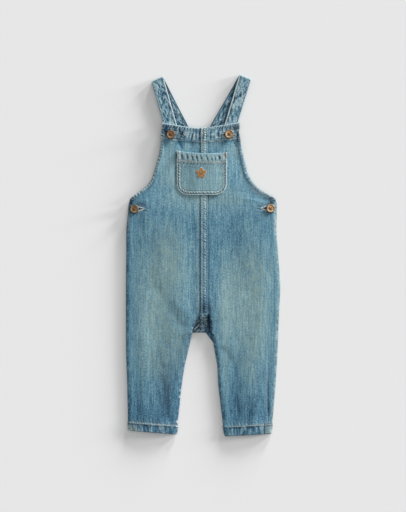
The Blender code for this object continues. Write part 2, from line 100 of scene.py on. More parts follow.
# the outline: X of both side edges, then of both inside-leg edges, at levels down the garment
Side = namedtuple("Side", "y left right")
SIDES = [
    Side(195.0, -59.2, 53.0),
    Side(177.4, -61.2, 53.7),
    Side(154.0, -62.7, 56.9),
    Side(130.6, -69.0, 62.6),
    Side(118.9, -72.3, 65.9),
    Side(107.3, -77.5, 73.0),
    Side(95.6, -89.6, 84.5),
    Side(85.0, -104.0, 102.6),
    Side(80.0, -107.8, 107.2),
    Side(60.5, -110.3, 107.8),
    Side(37.2, -112.3, 107.4),
    Side(2.1, -112.4, 109.9),
    Side(-44.6, -112.9, 112.9),
    Side(-91.3, -112.9, 110.9),
    Side(-138.0, -112.8, 109.1),
    Side(-184.7, -111.2, 106.4),
    Side(-219.8, -110.4, 103.6),
    Side(-243.1, -109.7, 101.4),
    Side(-264.0, -107.6, 99.2),
]
INSEAMS = [
    Side(-79.0, -4.8, 8.6),
    Side(-90.6, -5.4, 10.2),
    Side(-97.0, -11.2, 11.0),
    Side(-106.0, -14.8, 12.5),
    Side(-112.0, -16.4, 13.4),
    Side(-121.0, -17.6, 14.9),
    Side(-138.0, -21.4, 16.6),
    Side(-161.4, -26.9, 20.7),
    Side(-184.7, -30.8, 21.9),
    Side(-208.0, -33.4, 24.6),
    Side(-231.5, -36.0, 27.5),
    Side(-254.8, -38.4, 30.9),
    Side(-264.0, -40.4, 34.6),
]
# height of the fronts' inner surface at the side edge, at each inside-leg edge and on the plateau between
Rest = namedtuple("Rest", "y side left right plateau")
RESTS = [
    Rest(195.0, 4.15, 2.4, 2.4, 4.3),
    Rest(163.0, 4.10, 2.4, 2.4, 4.3),
    Rest(142.0, 1.60, 2.4, 2.4, 4.3),
    Rest(86.0, 1.50, 2.4, 2.4, 4.3),
    Rest(79.0, WRAP, 2.4, 2.4, 4.2),
    Rest(40.0, WRAP, 2.4, 2.4, 4.0),
    Rest(WEB_END_Y, WRAP, 2.4, 2.4, 4.0),
    Rest(-122.0, WRAP, WRAP, 1.7, 3.9),
    Rest(-131.0, WRAP, WRAP, 1.6, 3.9),
    Rest(-137.0, WRAP, WRAP, WRAP, 3.9),
    Rest(-200.0, WRAP, WRAP, WRAP, 3.7),
    Rest(-264.0, WRAP, WRAP, WRAP, 3.5),
]

# grid of a front: fine bands along its edges, and evenly spaced columns between them
SIDE_BAND = 9.75
CENTRE_BAND = 16.5
BAND_STEP = 0.75
COLUMNS_BETWEEN = 55
HEM_BAND = 15.0             # rows are closer together in this much above a leg's lower edge

# the largest folds, then the finer creases that only the cloth's outside shows; a trough is negative
Fold = namedtuple("Fold", "x0 y0 x1 y1 width height")
FOLDS = [
    Fold(-74, 70, -62, -20, 15, 0.5),
    Fold(62, 66, 66, -30, 15, 0.5),
    Fold(-14, 50, -15, -70, 6, -0.3),
    Fold(-67, -50, -31, -104, 8, -0.7),
    Fold(-22, -84, -58, -66, 9, 0.4),
    Fold(20, -90, 58, -64, 9, 0.5),
    Fold(-55, -165, -57, -232, 9, -0.6),
    Fold(-84, -125, -86, -230, 11, 0.5),
    Fold(51, -158, 52, -232, 9, -0.6),
    Fold(76, -120, 73, -240, 11, 0.5),
]
CREASES = [
    Fold(-37, 169, -31, 157, 1.8, -0.45),
    Fold(-54.5, 172, -55, 159, 2.0, -0.30),
    Fold(42, 171, 48, 160, 1.6, -0.40),
    Fold(-84, 68, -60, 58, 3.5, -0.16),
    Fold(82, 70, 60, 58, 3.5, -0.16),
    Fold(-97, 58, -90, 34, 3.5, -0.14),
    Fold(95, 60, 86, 36, 3.5, -0.14),
    Fold(-20, -94, -46, -72, 5.0, -0.22),
    Fold(-20, -104, -40, -98, 4.0, -0.18),
    Fold(17, -101, 38, -93, 4.0, -0.18),
    Fold(15, -88, 34, -66, 5.0, -0.20),
    Fold(-29, -128, -50, -152, 5.0, -0.25),
    Fold(28, -136, 46, -158, 5.0, -0.25),
    Fold(-60, -181, -50, -240, 5.0, -0.40),
    Fold(46, -166, 50, -240, 5.0, -0.40),
    Fold(67, -208, 67, -246, 3.5, -0.25),
    Fold(93, -188, 94, -224, 2.2, -0.25),
]

# how washing faded the cloth: patches that are paler or, below 0, bluer than the rest. The narrow bluer ones
# along the legs' long fold troughs are partly painted shade
Patch = namedtuple("Patch", "x y reach_x reach_y amount")
FADES = [
    Patch(-80, -112, 26, 76, 0.36),
    Patch(-36, -22, 24, 52, 0.24),
    Patch(36, -56, 22, 62, 0.26),
    Patch(72, -92, 28, 84, 0.28),
    Patch(33, -160, 8, 130, 0.20),
    Patch(35, 132, 28, 28, 0.18),
    Patch(-52, 132, 20, 40, 0.40),
    Patch(0, 82, 52, 22, 0.30),
    Patch(-22, 108, 16, 20, 0.14),
    Patch(-22, 150, 24, 12, 0.12),
    Patch(46, 156, 11, 10, 0.30),
    Patch(-20, 112, 14, 16, 0.10),
    Patch(-34, 100, 12, 24, 0.12),
    Patch(0, 159, 28, 7, 0.14),
    Patch(88, 76, 16, 14, 0.10),
    Patch(-10, -66, 8, 28, 0.12),
    Patch(-60, -165, 24, 46, -0.12),
    Patch(34, -90, 7, 70, 0.10),
    Patch(88, -195, 16, 30, -0.10),
    Patch(-84, -14, 8, 20, 0.10),
    Patch(-38, -36, 8, 30, 0.08),
    Patch(-96, 0, 14, 44, 0.08),
    Patch(50, 20, 40, 26, -0.12),
    Patch(-111, -60, 8, 190, -0.13),
    Patch(111, -60, 8, 190, -0.02),
    Patch(-56, -206, 8, 40, -0.22),
    Patch(-56, -158, 20, 46, -0.16),
    Patch(48, -202, 8, 40, -0.26),
    Patch(68, -226, 4, 26, -0.12),
    Patch(-49, -76, 12, 36, -0.10),
    Patch(-30, -134, 8, 34, -0.10),
    Patch(-75, -240, 60, 42, -0.23),
    Patch(66, -244, 60, 40, -0.14),
    Patch(-53, -194, 14, 16, -0.12),
    Patch(29, -92, 8, 50, 0.08),
    Patch(-12, 86, 18, 10, 0.08),
    Patch(88, -160, 16, 44, -0.05),
]
DUSTY = [                   # where the wash left a greenish cast
    Patch(-62, -78, 28, 110, 1.0),
    Patch(34, -60, 16, 64, 0.4),
    Patch(74, -80, 30, 110, 1.0),
    Patch(-50, 4, 22, 40, 0.5),
    Patch(36, 84, 30, 16, 0.5),
    Patch(-34, -128, 16, 40, 0.6),
    Patch(-52, -14, 24, 50, 0.25),
    Patch(74, -16, 34, 26, 0.3),
    Patch(-68, -160, 18, 18, 0.5),
]
DEEP = [                    # corners and wrinkles that the wash hardly reached
    Patch(-104, 82, 6, 4, 1.0),
    Patch(-102, 76, 8, 3, 1.6),
    Patch(-107, 64, 3, 5, 0.9),
    Patch(-89, 75, 5, 3, 1.4),
    Patch(-87, 66, 5, 2, 0.8),
    Patch(98, 83, 9, 3, 1.3),
    Patch(101, 77, 7, 3, 1.3),
    Patch(86, 74, 5, 3, 0.7),
    Patch(85, 65, 4, 2, 0.7),
    Patch(-55, 182, 6, 9, 1.3),
    Patch(-44, 190, 10, 4, 1.2),
    Patch(-32, 180, 7, 9, 0.95),
    Patch(22, 189, 12, 4, 0.6),
    Patch(47, 188, 7, 5, 1.3),
    Patch(50, 173, 4, 8, 0.9),
]
FADE_BASE = 0.45

Button = namedtuple("Button", "name x y half under")
BUTTONS = [
    Button("button_bib_left", -46.9, 177.5, "left", 3.85),
    Button("button_bib_right", 38.2, 177.9, "right", 3.85),
    Button("button_side_left", -100.1, 68.7, "left", CLOTH),
    Button("button_side_right", 98.6, 69.7, "right", CLOTH),
]
SLIT_HALF = 0.55            # half the width of an open buttonhole
SLIT_OUTSIDE = 1.6          # from the button's centre to the hole's outer end
SLIT_INSIDE = 12.6
SLIT_ROWS = (-1.2, -SLIT_HALF, SLIT_HALF, 1.2)
SLIT_CLEAR = 1.4            # no other row is nearer to the slit's middle
BUTTON_RADIUS = 6.35

LATTICE = np.random.default_rng(23).random((64, 64))


def read_curve(rows, y, column):
    """Read a table at y, on a smooth curve through its rows."""
    rows = sorted(rows, key=lambda row: row.y)
    at = np.array([row.y for row in rows])
    values = np.array([getattr(row, column) for row in rows])
    places = np.arange(len(at))
    low, high = np.maximum(places - 1, 0), np.minimum(places + 1, len(at) - 1)
    slope = (values[high] - values[low]) / (at[high] - at[low])
    y = np.clip(y, at[0], at[-1])
    here = np.clip(np.searchsorted(at, y, side="right") - 1, 0, len(at) - 2)
    span = at[here + 1] - at[here]
    t = (y - at[here]) / span
    start = values[here] * (1 + 2 * t) * (1 - t) ** 2 + slope[here] * span * t * (1 - t) ** 2
    end = values[here + 1] * t * t * (3 - 2 * t) - slope[here + 1] * span * t * t * (1 - t)
    return start + end


def read_line(rows, y, column):
    """Read a table at y, on straight lines between its rows."""
    rows = sorted(rows, key=lambda row: row.y)
    return np.interp(y, [row.y for row in rows], [getattr(row, column) for row in rows])


def smoothstep(t):
    """0 up to t = 0, 1 from t = 1 on, and a smooth rise between."""
    t = np.clip(t, 0.0, 1.0)
    return t * t * (3 - 2 * t)


def hump(distance, width):
    """1 where the distance is nothing, and nearly 0 from two widths on."""
    return np.exp(-(distance / width) ** 2)


def folded_edge(away, radius):
    """How far the outside of a folded edge falls within its radius."""
    near = np.clip(1 - away / radius, 0.0, 1.0)
    return radius * (np.sqrt(1 - near ** 2) - 1)


def unevenness(x, y, size_x, size_y, draw):
    """Smooth unevenness from -1 to 1; the sizes are from one high spot to the next, in mm."""
    u, v = x / size_x + draw * 7.31, y / size_y + draw * 3.17
    i, j = np.floor(u).astype(int), np.floor(v).astype(int)
    fu, fv = smoothstep(u - i), smoothstep(v - j)
    low = LATTICE[i % 64, j % 64] * (1 - fu) + LATTICE[(i + 1) % 64, j % 64] * fu
    high = LATTICE[i % 64, (j + 1) % 64] * (1 - fu) + LATTICE[(i + 1) % 64, (j + 1) % 64] * fu
    return 2 * (low * (1 - fv) + high * fv) - 1


def puckers(along, away, period, lean, draw):
    """The small valleys, 0 to 1 deep, that a row of stitches draws into the cloth beside it."""
    wander = 0.45 * unevenness(along, away, 2.6 * period, 25, draw)
    valley = 0.5 - 0.5 * np.cos(2 * math.pi * ((along + lean * away) / period + wander))
    return valley ** 1.6 * (0.68 + 0.32 * unevenness(along, away, 1.6 * period, 25, draw + 1))


def crisp(value):
    """Soft marks made sharp, so that each one ends within a millimetre."""
    return smoothstep((value - 0.30) / 0.28)


def mottled(x, y, size_x, size_y, draw):
    """Streaks that the wash left in drawn cloth: from -1, still dark blue, to 1, rubbed pale."""
    coarse = unevenness(x, y, size_x, size_y, draw)
    return np.clip(1.3 * coarse + 0.9 * unevenness(x, y, 0.55 * size_x, 0.5 * size_y, draw + 1), -1, 1)


def ticks(along, away, period, lean, draw):
    """Puckers as a tone: -1 in the valleys and 1 on the ridges between them."""
    return 1 - 2 * crisp(puckers(along, away, period, lean, draw))


def patched(patches, x, y):
    """The patches' amounts at each point, full in the middle of each and fading out round it."""
    return sum(patch.amount * hump(x - patch.x, patch.reach_x) * hump(y - patch.y, patch.reach_y)
               for patch in patches)


class Look:
    """What the needle and the wash did to the outside of a piece, and the light and shade painted on it, at
    each point of its grid.
    """

    def __init__(self, x, fade):
        self.relief = np.zeros_like(x)          # mm proud of the plain cloth
        self.fade = fade + np.zeros_like(x)     # 0 is dark blue and 1 is pale blue
        self.dusty = np.zeros_like(x)
        self.worn = np.zeros_like(x)
        self.dark = np.zeros_like(x)

    def rub(self, where, tone, depth, pale, navy):
        """Draw the cloth in: its hollows stay dark blue and its ridges are rubbed pale."""
        self.relief += depth * where * tone
        self.worn += pale * where * np.clip(tone, 0, 1)
        self.dark += navy * where * np.clip(-tone, 0, 1)

    def attributes(self):
        return {"fade": self.fade, "dusty": np.clip(self.dusty, 0, 1),
                "worn": np.clip(self.worn, 0, 1), "dark": np.clip(self.dark, 0, 1.25)}


def buttons_on(half):
    """The buttons that go through a front panel."""
    return [button for button in BUTTONS if button.half == half]


def edge_slant(half, y):
    """How much longer a width is along X than square to the garment's side edge."""
    lean = read_curve(SIDES, y + 1, half) - read_curve(SIDES, y - 1, half)
    return np.minimum(np.hypot(1, lean / 2), 1.9)


def edge_run(half, level):
    """Length along the garment's side edge, up from its lower end."""
    ys = np.linspace(SIDES[-1].y, SIDES[0].y, 900)
    return np.interp(level, ys, np.cumsum(edge_slant(half, ys)) * (ys[1] - ys[0]))


def wrap_inset(rest, plateau):
    """The cloth's own thickness, where its edge turns down and its outside makes the outline."""
    return CLOTH * np.clip((plateau - rest) / (plateau - WRAP), 0.0, 1.0)


def side_edge(half, y):
    """X at which the inner surface of a front meets its turned-down side edge."""
    inset = wrap_inset(read_line(RESTS, y, "side"), read_line(RESTS, y, "plateau"))
    return read_curve(SIDES, y, half) + INWARD[half] * inset


def inseam_edge(half, y):
    """The same for the edge inside the leg."""
    inset = wrap_inset(read_line(RESTS, y, half), read_line(RESTS, y, "plateau"))
    return read_curve(INSEAMS, y, half) - INWARD[half] * inset


def rise(distance, rest, plateau):
    """Height at a distance from an edge: a tight turn and then a gentle slope to the plateau."""
    turn = np.sqrt(np.clip(1 - (1 - np.clip(distance, 0, CURL) / CURL) ** 2, 0, 1))
    share = SHOULDER * turn + (1 - SHOULDER) * smoothstep((distance - CURL) / RISE)
    return rest + (plateau - rest) * share


def fold_share(fold, x, y):
    """1 on the line of a fold, falling off at its sides and ends."""
    along_x, along_y = fold.x1 - fold.x0, fold.y1 - fold.y0
    reach = ((x - fold.x0) * along_x + (y - fold.y0) * along_y) / (along_x ** 2 + along_y ** 2)
    t = np.clip(reach, 0.0, 1.0)
    return hump(np.hypot(x - fold.x0 - along_x * t, y - fold.y0 - along_y * t), fold.width)


def front_underside(x, level):
    """Height of the front cloth's inner surface; level is a row's y before it bends."""
    left = x < CENTRE_X
    plateau = read_line(RESTS, level, "plateau")
    edge = np.where(left, side_edge("left", level), side_edge("right", level))
    slant = np.where(left, edge_slant("left", level), edge_slant("right", level))
    distance = np.abs(x - edge) / slant
    height = rise(distance, read_line(RESTS, level, "side"), plateau)
    inseam = np.where(left, inseam_edge("left", level), inseam_edge("right", level))
    rest = np.where(left, read_line(RESTS, level, "left"), read_line(RESTS, level, "right"))
    inner = np.abs(x - inseam)
    on_leg = smoothstep((LEG_START_Y - level) / 10)
    height = height + on_leg * (np.minimum(height, rise(inner, rest, plateau)) - height)
    distance = distance + on_leg * (np.minimum(distance, inner) - distance)
    folds = sum(fold.height * fold_share(fold, x, level) for fold in FOLDS)
    return height + folds * smoothstep((ARMHOLE_Y + 5 - level) / 25) * smoothstep(distance / 18)


def bib_bend(x, level):
    """How far a row dips at x: not at all at the bib's corners, and most at its centre."""
    dip = CENTRE_DIP * (np.minimum(1.0, np.abs(x - CENTRE_X) / BIB_HALF) ** 1.3 - 1)
    return dip * np.maximum(0.0, (level - DIP_END_Y) / (BIB_TOP - DIP_END_Y)) ** 1.5


def row_y(half, x, level):
    """Where a row of cloth lies at x: it dips along the bib's top and tilts with the leg's hem."""
    share = smoothstep((HEM_TILT_Y - level) / HEM_TILT_LENGTH)
    return level + bib_bend(x, level) + HEM_SLOPE[half] * (x - HEM_CORNER_X[half]) * share


def row_level(x, y):
    """The row of the bib that passes through a point."""
    level = y
    for _ in range(6):
        level = y - bib_bend(x, level)
    return level


def spread(start, end, step):
    """Evenly spaced values from start up to, but without, end."""
    count = max(1, round(abs(end - start) / step))
    return [start + (end - start) * k / count for k in range(count)]


def edge_steps(end, step):
    """Distances from an edge, close together where the cloth turns and then a step apart."""
    turn = [CURL * (1 - math.cos(math.radians(angle))) for angle in range(0, 90, 9)]
    return np.array(turn + spread(CURL, end, step) + [end])


def banded(bands):
    """Values in bands of (start, end, step) that follow each other, and the end of the last."""
    return [value for band in bands for value in spread(*band)] + [bands[-1][1]]


def front_rows(half):
    """Levels of a front's rows, closest together in the hems, along the armholes and at the buttonholes."""
    hem, under_bib_hem = HEM_LEVEL[half], BIB_TOP - BIB_HEM - 2
    rows = banded([
        (BIB_TOP, under_bib_hem, 0.8), (under_bib_hem, LOW_ARM_Y, 1.25), (LOW_ARM_Y, ARMHOLE_Y, 0.65),
        (ARMHOLE_Y, LEG_START_Y, 1.5), (LEG_START_Y, UNDERLAP_END_Y, 1.0), (UNDERLAP_END_Y, SEAM_END_Y, 1.0),
        (SEAM_END_Y, WEB_END_Y, 1.0), (WEB_END_Y, CLOSE_ROWS_END_Y, 1.1),
        (CLOSE_ROWS_END_Y, hem + HEM_BAND, 1.5), (hem + HEM_BAND, hem, 0.75)])
    for button in buttons_on(half):
        slit = row_level(button.x, button.y)
        rows = [row for row in rows if abs(row - slit) > SLIT_CLEAR] + [slit + at for at in SLIT_ROWS]
    return np.array(sorted(rows, reverse=True))


def filled(near_side, near_centre, count):
    """Two bands of columns, and a number of evenly spaced ones between them."""
    share = (np.arange(1, count + 1) / (count + 1))[None, :]
    between = near_side[:, -1:] * (1 - share) + near_centre[:, :1] * share
    return np.concatenate([near_side, between, near_centre], axis=1)


def front_columns(half, levels):
    """X of each column of a front panel, from its side edge to the centre. The last columns are the part
    that laps over or under the other panel; it ends above the legs."""
    outer, slant = side_edge(half, levels), edge_slant(half, levels)
    inner = inseam_edge(half, np.minimum(levels, LAP_END[half]))
    near_side = outer[:, None] + INWARD[half] * edge_steps(SIDE_BAND, BAND_STEP) * slant[:, None]
    near_centre = inner[:, None] - INWARD[half] * edge_steps(CENTRE_BAND, BAND_STEP)[::-1]
    lap = inner[:, None] * (1 - LAP_SHARES) + LAP_EDGE[half] * LAP_SHARES
    return np.concatenate([filled(near_side, near_centre, COLUMNS_BETWEEN), lap[:, 1:]], axis=1)


def front_wall(half, side, level):
    """Thickness: two layers more in the hems, let in gently along the bib and low on the armholes."""
    in_bib_hem = smoothstep((level - BIB_TOP + BIB_HEM + 3.0) / 6.0)
    in_leg_hem = smoothstep((HEM_LEVEL[half] + LEG_HEM[half] + 0.6 - level) / 1.2)
    ease = 4.0 * smoothstep((LOW_ARM_Y - level) / 16)
    in_arm_hem = smoothstep((ARM_HEM + 0.9 + 0.4 * ease - side) / (1.0 + ease))
    in_arm_hem = smoothstep((level - ARMHOLE_Y) / 1.5) * in_arm_hem
    in_hem = np.maximum(np.maximum(in_bib_hem, in_leg_hem), in_arm_hem)
    return CLOTH + (TURNED - CLOTH) * in_hem


def slit_ends(button):
    """X of the outer and the inner end of a buttonhole."""
    inward = INWARD[button.half]
    return button.x - inward * SLIT_OUTSIDE, button.x + inward * SLIT_INSIDE


def hole_edge(inside):
    """How far a buttonhole's worked edge lies from its middle: the button drags it open on its side."""
    return 0.9 + 1.9 * np.clip((SLIT_INSIDE - inside) / (SLIT_INSIDE - BUTTON_RADIUS), 0, 1)


def add_bib_hem(look, half, x, level):
    """A pale rolled edge with slanting dark teeth, then streaks down to a broken pale row."""
    top = BIB_TOP - level
    hem = smoothstep((BIB_HEM + 0.5 - top) / 1.5)
    look.relief += folded_edge(top, 1.2) * (top < 1.2) - 0.25 * hump(top - BIB_HEM + 1.6, 0.7)
    look.rub(hem * hump(top - 3.8, 2.4), ticks(x, top, 3.9, 0.45, 2), 0.35, 0.30, 1.0)
    columns = 0.7 * ticks(x, top, 5.4, 0.15, 5) + 0.9 * mottled(x, level, 3.4, 7.0, 6)
    look.rub(hem * hump(top - 14.0, 8.5), np.clip(columns, -1, 1), 0.40, 0.62, 1.0)
    # the darkening at the very top edge is painted shade, where that edge faces the lamp
    look.fade += hem * ((0.10 if half == "right" else 0.0) - 0.12 * hump(top, 1.5))
    look.rub(hump(top - 29.0, 5.0), mottled(x, level, 6.0, 18.0, 8), 0.14, 0.16, 0.25)
    broken = smoothstep(0.5 + 0.9 * unevenness(x, level, 6, 12, 6))
    look.worn += 0.28 * hem * hump(top - 0.5, 1.2) + 1.0 * hump(top - BIB_HEM + 0.9, 1.2) * broken
    look.dark += 0.40 * hump(top - BIB_HEM - 0.6, 0.9) * (1 - broken)
    look.dusty += 0.9 * hem * hump(top, 1.8)
    look.dark *= 1 - 0.7 * hem * hump(top - 0.2, 1.4)


def add_pocket_edge(look, x, level):
    """A painted shadow in a dark line just outside the pocket's left edge, and painted light further out,
    which makes the cloth paler where the pocket casts its shadow.
    """
    beside = smoothstep((level - POCKET_BOTTOM - 12) / 6) * smoothstep((POCKET_TOP - level) / 3)
    look.dark += 1.0 * beside * hump(x - POCKET_LEFT + 0.7, 0.9)
    look.fade += 0.24 * beside * hump(x - POCKET_LEFT + 5.0, 3.0)


def add_armhole(look, half, level, side):
    """A roped edge, pale and dark by turns, and one faint row of stitches."""
    edge = edge_run(half, level) + side * np.sqrt(edge_slant(half, level) ** 2 - 1)
    on_arm = smoothstep((level - ARMHOLE_Y + 1) / 2) * smoothstep((BIB_TOP - level - 1) / 4)
    low_arm = smoothstep((LOW_ARM_Y - level) / 20)
    rope = ticks(edge, side, 4.6, 0.3, 7)
    rope_at, rope_width = (1.2, 1.6) if half == "left" else (2.6, 2.0)
    if half == "right":
        rope = np.clip(0.6 * rope + 0.9 * mottled(edge, side, 2.4, 2.6, 37) - 0.1, -1, 1)
    look.relief += on_arm * (folded_edge(side, 0.9) * (side < 0.9) - 0.2 * hump(side - ARM_ROW, 0.6))
    look.rub(on_arm * hump(side - rope_at, rope_width), rope, 0.25, 0.24, 0.65 + 0.35 * low_arm)
    look.worn += on_arm * 0.20 * hump(side - 0.8, 1.0)
    look.dusty += 0.9 * on_arm * hump(side, 1.8)
    if half == "left":
        look.dark += on_arm * hump(side - ARM_HEM - 0.5, 0.9) * (0.12 + 0.70 * hump(level - 110, 13))
    else:
        look.dark += 0.35 * on_arm * hump(side - ARM_HEM - 1.6, 0.9) * hump(level - LOW_ARM_Y, 14)
        look.worn += on_arm * (0.10 + 0.30 * low_arm) * hump(side - ARM_HEM - 1.2, 1.1)
        # the right edge faces the lamp and is painted darker as shade, on the armhole and down the side, and
        # greenish below the armhole
        look.fade -= (0.45 * on_arm + 0.30 * smoothstep((ARMHOLE_Y - level) / 4)) * hump(side, 2.2)
        look.fade -= 0.25 * on_arm * low_arm * hump(side, 1.5)
        look.dusty += 1.2 * smoothstep((ARMHOLE_Y + 2 - level) / 4) * hump(side, 2.6)


def add_side(look, level, side):
    """Below the armhole the seam lies at the very edge, faintly puckered."""
    below = smoothstep((ARMHOLE_Y - 2 - level) / 4)
    look.rub(below * hump(side - 1.2, 1.8), mottled(level, side, 3.4, 5.0, 9), 0.15, 0.18, 0.25)
    look.worn += below * 0.26 * hump(side - 2.0, 1.3) * hump(level - 52, 22)


def add_leg_hem(look, half, x, level):
    """A pale row of stitches, a dark line under it, and upright streaks down to the edge. Part of the right
    hem is unsewn, and a patch covers its outer seam."""
    up = level - HEM_LEVEL[half]
    sewn_at = LEG_HEM[half] - LEG_ROW
    row = 1.0
    streaks = np.clip(0.8 * mottled(x, up, 3.7, 16.0, 12) + 0.7 * mottled(x, up, 1.9, 10.0, 34), -1, 1)
    if half == "right":
        row = smoothstep((x - PLAIN_HEM_END_X) / 1.2)
        patch = smoothstep((x - SIDE_PATCH_X) / 0.8) * (up < sewn_at + 1.0)
        streaks = (streaks * row - 0.35 * (1 - row)) * (1 - patch) + 0.45 * patch
        look.dusty += 1.3 * patch
        look.fade -= 0.10 * patch
        edging = hump(x - SIDE_PATCH_X, 0.8) * (up < sewn_at + 1.4) + patch * hump(up - sewn_at - 0.6, 0.8)
        look.dark += 0.80 * edging
        look.relief -= 0.35 * edging
    look.relief += folded_edge(up, 1.1) * (up < 1.1) - 0.40 * row * hump(up - sewn_at, 0.6)
    look.rub(smoothstep((sewn_at - 0.6 - up) / 0.8), streaks, 0.25, 0.32, 0.76)
    look.rub(hump(up - sewn_at - 3.5, 3.0), ticks(x, up, 4.8, 0.5, 21), 0.10, 0.08, 0.22)
    look.rub(hump(up - 0.6, 0.9), ticks(x, up, 3.4, 0.1, 20), 0.10, 0.20, 0.50)
    look.worn += row * 0.50 * hump(up - sewn_at, 0.9) * (0.65 + 0.35 * unevenness(x, level, 2.5, 9, 13))
    # painted shade on the hem's upper step, which faces the lamp
    look.fade -= 0.30 * row * hump(up - sewn_at - 1.5, 0.8)
    look.dusty += 0.7 * row * hump(up - sewn_at - 0.4, 1.6)
    look.dark += row * 1.1 * hump(up - sewn_at + 1.7, 0.9) * (0.72 - 0.28 * mottled(x, up, 2.6, 9.0, 35))
    if half == "left":
        look.dusty += 1.5 * hump(x + 106, 9) * hump(up - 3, 6)
        look.worn += 0.25 * hump(x + 106, 6) * hump(up - 3, 6)


def add_centre_seam(look, half, x, level):
    """A painted shadow under the fold of the fell, a pale row, loops drawn by the stitches, and a dark line.
    Towards the crotch the fell and the cloth beside it are painted dark as shade."""
    sewn = smoothstep((level - SEAM_END_Y + 1) / 2)
    low = -50 - level
    if half == "right":
        look.relief += sewn * folded_edge(x - FELL_LEFT, 0.9) * (x < FELL_LEFT + 0.9)
        look.relief -= sewn * sum(0.34 * hump(x - fell_row, 0.6) for fell_row in FELL_ROWS)
        pale = 1 - 0.6 * smoothstep((-48 - level) / 26)
        look.rub(sewn * hump(x - 2.6, 1.5), ticks(level, x, 4.2, 0.5, 14), 0.30, 0.42 * pale, 0.75)
        look.worn += sewn * pale * 0.36 * hump(x + 1.3, 1.0)
        fine_lines = 0.50 * hump(x + 3.9, 0.7) + 0.42 * hump(x - 0.4, 0.6)
        # down the fell's right flank a dark line, partly unwashed indigo and partly painted shade on the
        # flank that faces the lamp
        look.dark += sewn * (fine_lines + 1.1 * hump(x - 7.2, 1.2))
        look.dark += 0.45 * hump(x + 3.7, 0.8) * smoothstep((level - POCKET_TOP) / 3)
        on_fell = sewn * hump(x - 1.0, 5.0)
        look.fade += on_fell * (0.32 * smoothstep((level - 60) / 20) - 0.25 * smoothstep((-40 - level) / 40))
        # towards the crotch the fell and the cloth right of it are painted dark as shade
        look.dark += on_fell * 0.72 * smoothstep(low / 28)
        look.dark += 0.62 * hump(x - 9.2, 2.2) * smoothstep(low / 30) * smoothstep((level + 126) / 14)
    else:
        # painted shadow under the fell's folded edge
        look.dark += sewn * 0.40 * hump(x + 4.9, 0.6)
        look.relief += 0.5 * sewn * smoothstep((x - FELL_LEFT + 16.0) / 15.0)
        look.worn += sewn * 0.30 * hump(x + 7.2, 0.8) * smoothstep((POCKET_BOTTOM - level) / 4)
        # painted shade towards the crotch
        look.dark += 0.22 * hump(x + 8.5, 4.0) * smoothstep(low / 30) * smoothstep((level + 112) / 14)


def add_inseam(look, half, x, level):
    """The seam lies just round the edge of the leg; at its top the cloth is drawn into folds."""
    inseam = np.abs(x - inseam_edge(half, level))
    on_leg = smoothstep((WEB_END_Y + 6 - level) / 8)
    look.rub(on_leg * hump(inseam - 1.0, 2.2), mottled(level, inseam, 3.6, 5.0, 16) - 0.3, 0.18, 0.16, 0.36)
    look.fade -= (0.30 if half == "left" else 0.10) * smoothstep((-84 - level) / 8) * hump(inseam, 2.6)
    specks = np.clip(mottled(level, inseam, 3.4, 5.0, 38), 0, 1) * smoothstep((-188 - level) / 10)
    look.worn += (0.6 if half == "left" else 0.2) * specks * hump(inseam - 0.8, 1.1)
    crotch = hump(inseam, 3.0) * smoothstep((-86 - level) / 6) * smoothstep((level + 120) / 8)
    look.rub(crotch, mottled(level + 0.5 * x, inseam, 3.4, 7.0, 17) - 0.2, 0.30, 0.30, 0.75)


def add_outer_seam(look, x, level):
    """The outer seam of the right leg, which has rolled to the front."""
    rolled = smoothstep((-150 - level) / 12) * smoothstep((level + 246) / 3)
    look.relief += rolled * (0.18 * hump(x - 92.6, 1.5) - 0.40 * hump(x - 94.8, 0.8))
    look.worn += rolled * 0.16 * hump(x - 92.4, 1.3)
    look.dark += rolled * 0.55 * hump(x - 94.8, 1.0) * hump(level + 192, 34)
    look.dark += 0.60 * hump(x - 96.5, 3.6) * hump(level + 226, 6.5)


def add_buttonhole(look, button, x, level):
    """A worked edge round the slit, rubbed white where the button drags it open at the garment's sides,
    painted shade in the open slit, and a painted shadow on the cloth round the button, on its side away from
    the lamp."""
    off_x = x - np.clip(x, *sorted(slit_ends(button)))
    off_y = level - row_level(button.x, button.y)
    away = np.hypot(off_x, off_y)
    on_side = 1.0 if button.y < ARMHOLE_Y else 0.35
    inside = (x - button.x) * INWARD[button.half]
    opened = smoothstep((inside - 4) / 2) * smoothstep((SLIT_INSIDE + 1.0 - inside) / 1.5)
    mouth = hole_edge(inside)
    drag = ticks(off_y + 0.15 * np.abs(off_x), off_x, 3.8, 0.2, 19)
    round_rim = np.hypot(x - button.x, off_y)
    # the button's painted shadow falls on its lower left, away from the lamp
    shadow_side = smoothstep(0.4 - (0.75 * (x - button.x) + 0.66 * off_y) / BUTTON_RADIUS)
    look.dark += 1.0 * shadow_side * hump(round_rim - BUTTON_RADIUS - 0.3, 0.9)
    look.relief += 0.16 * hump(away - 1.5, 0.9)
    look.rub(hump(away - 4.6, 2.4), drag - 0.2, 0.22, 0.12, 0.62)
    look.worn += on_side * 0.95 * opened * hump(np.abs(off_y) - mouth, 0.9)
    # painted shade in the open slit
    look.dark += on_side * 0.80 * opened * hump(off_y, 0.6 * mouth)


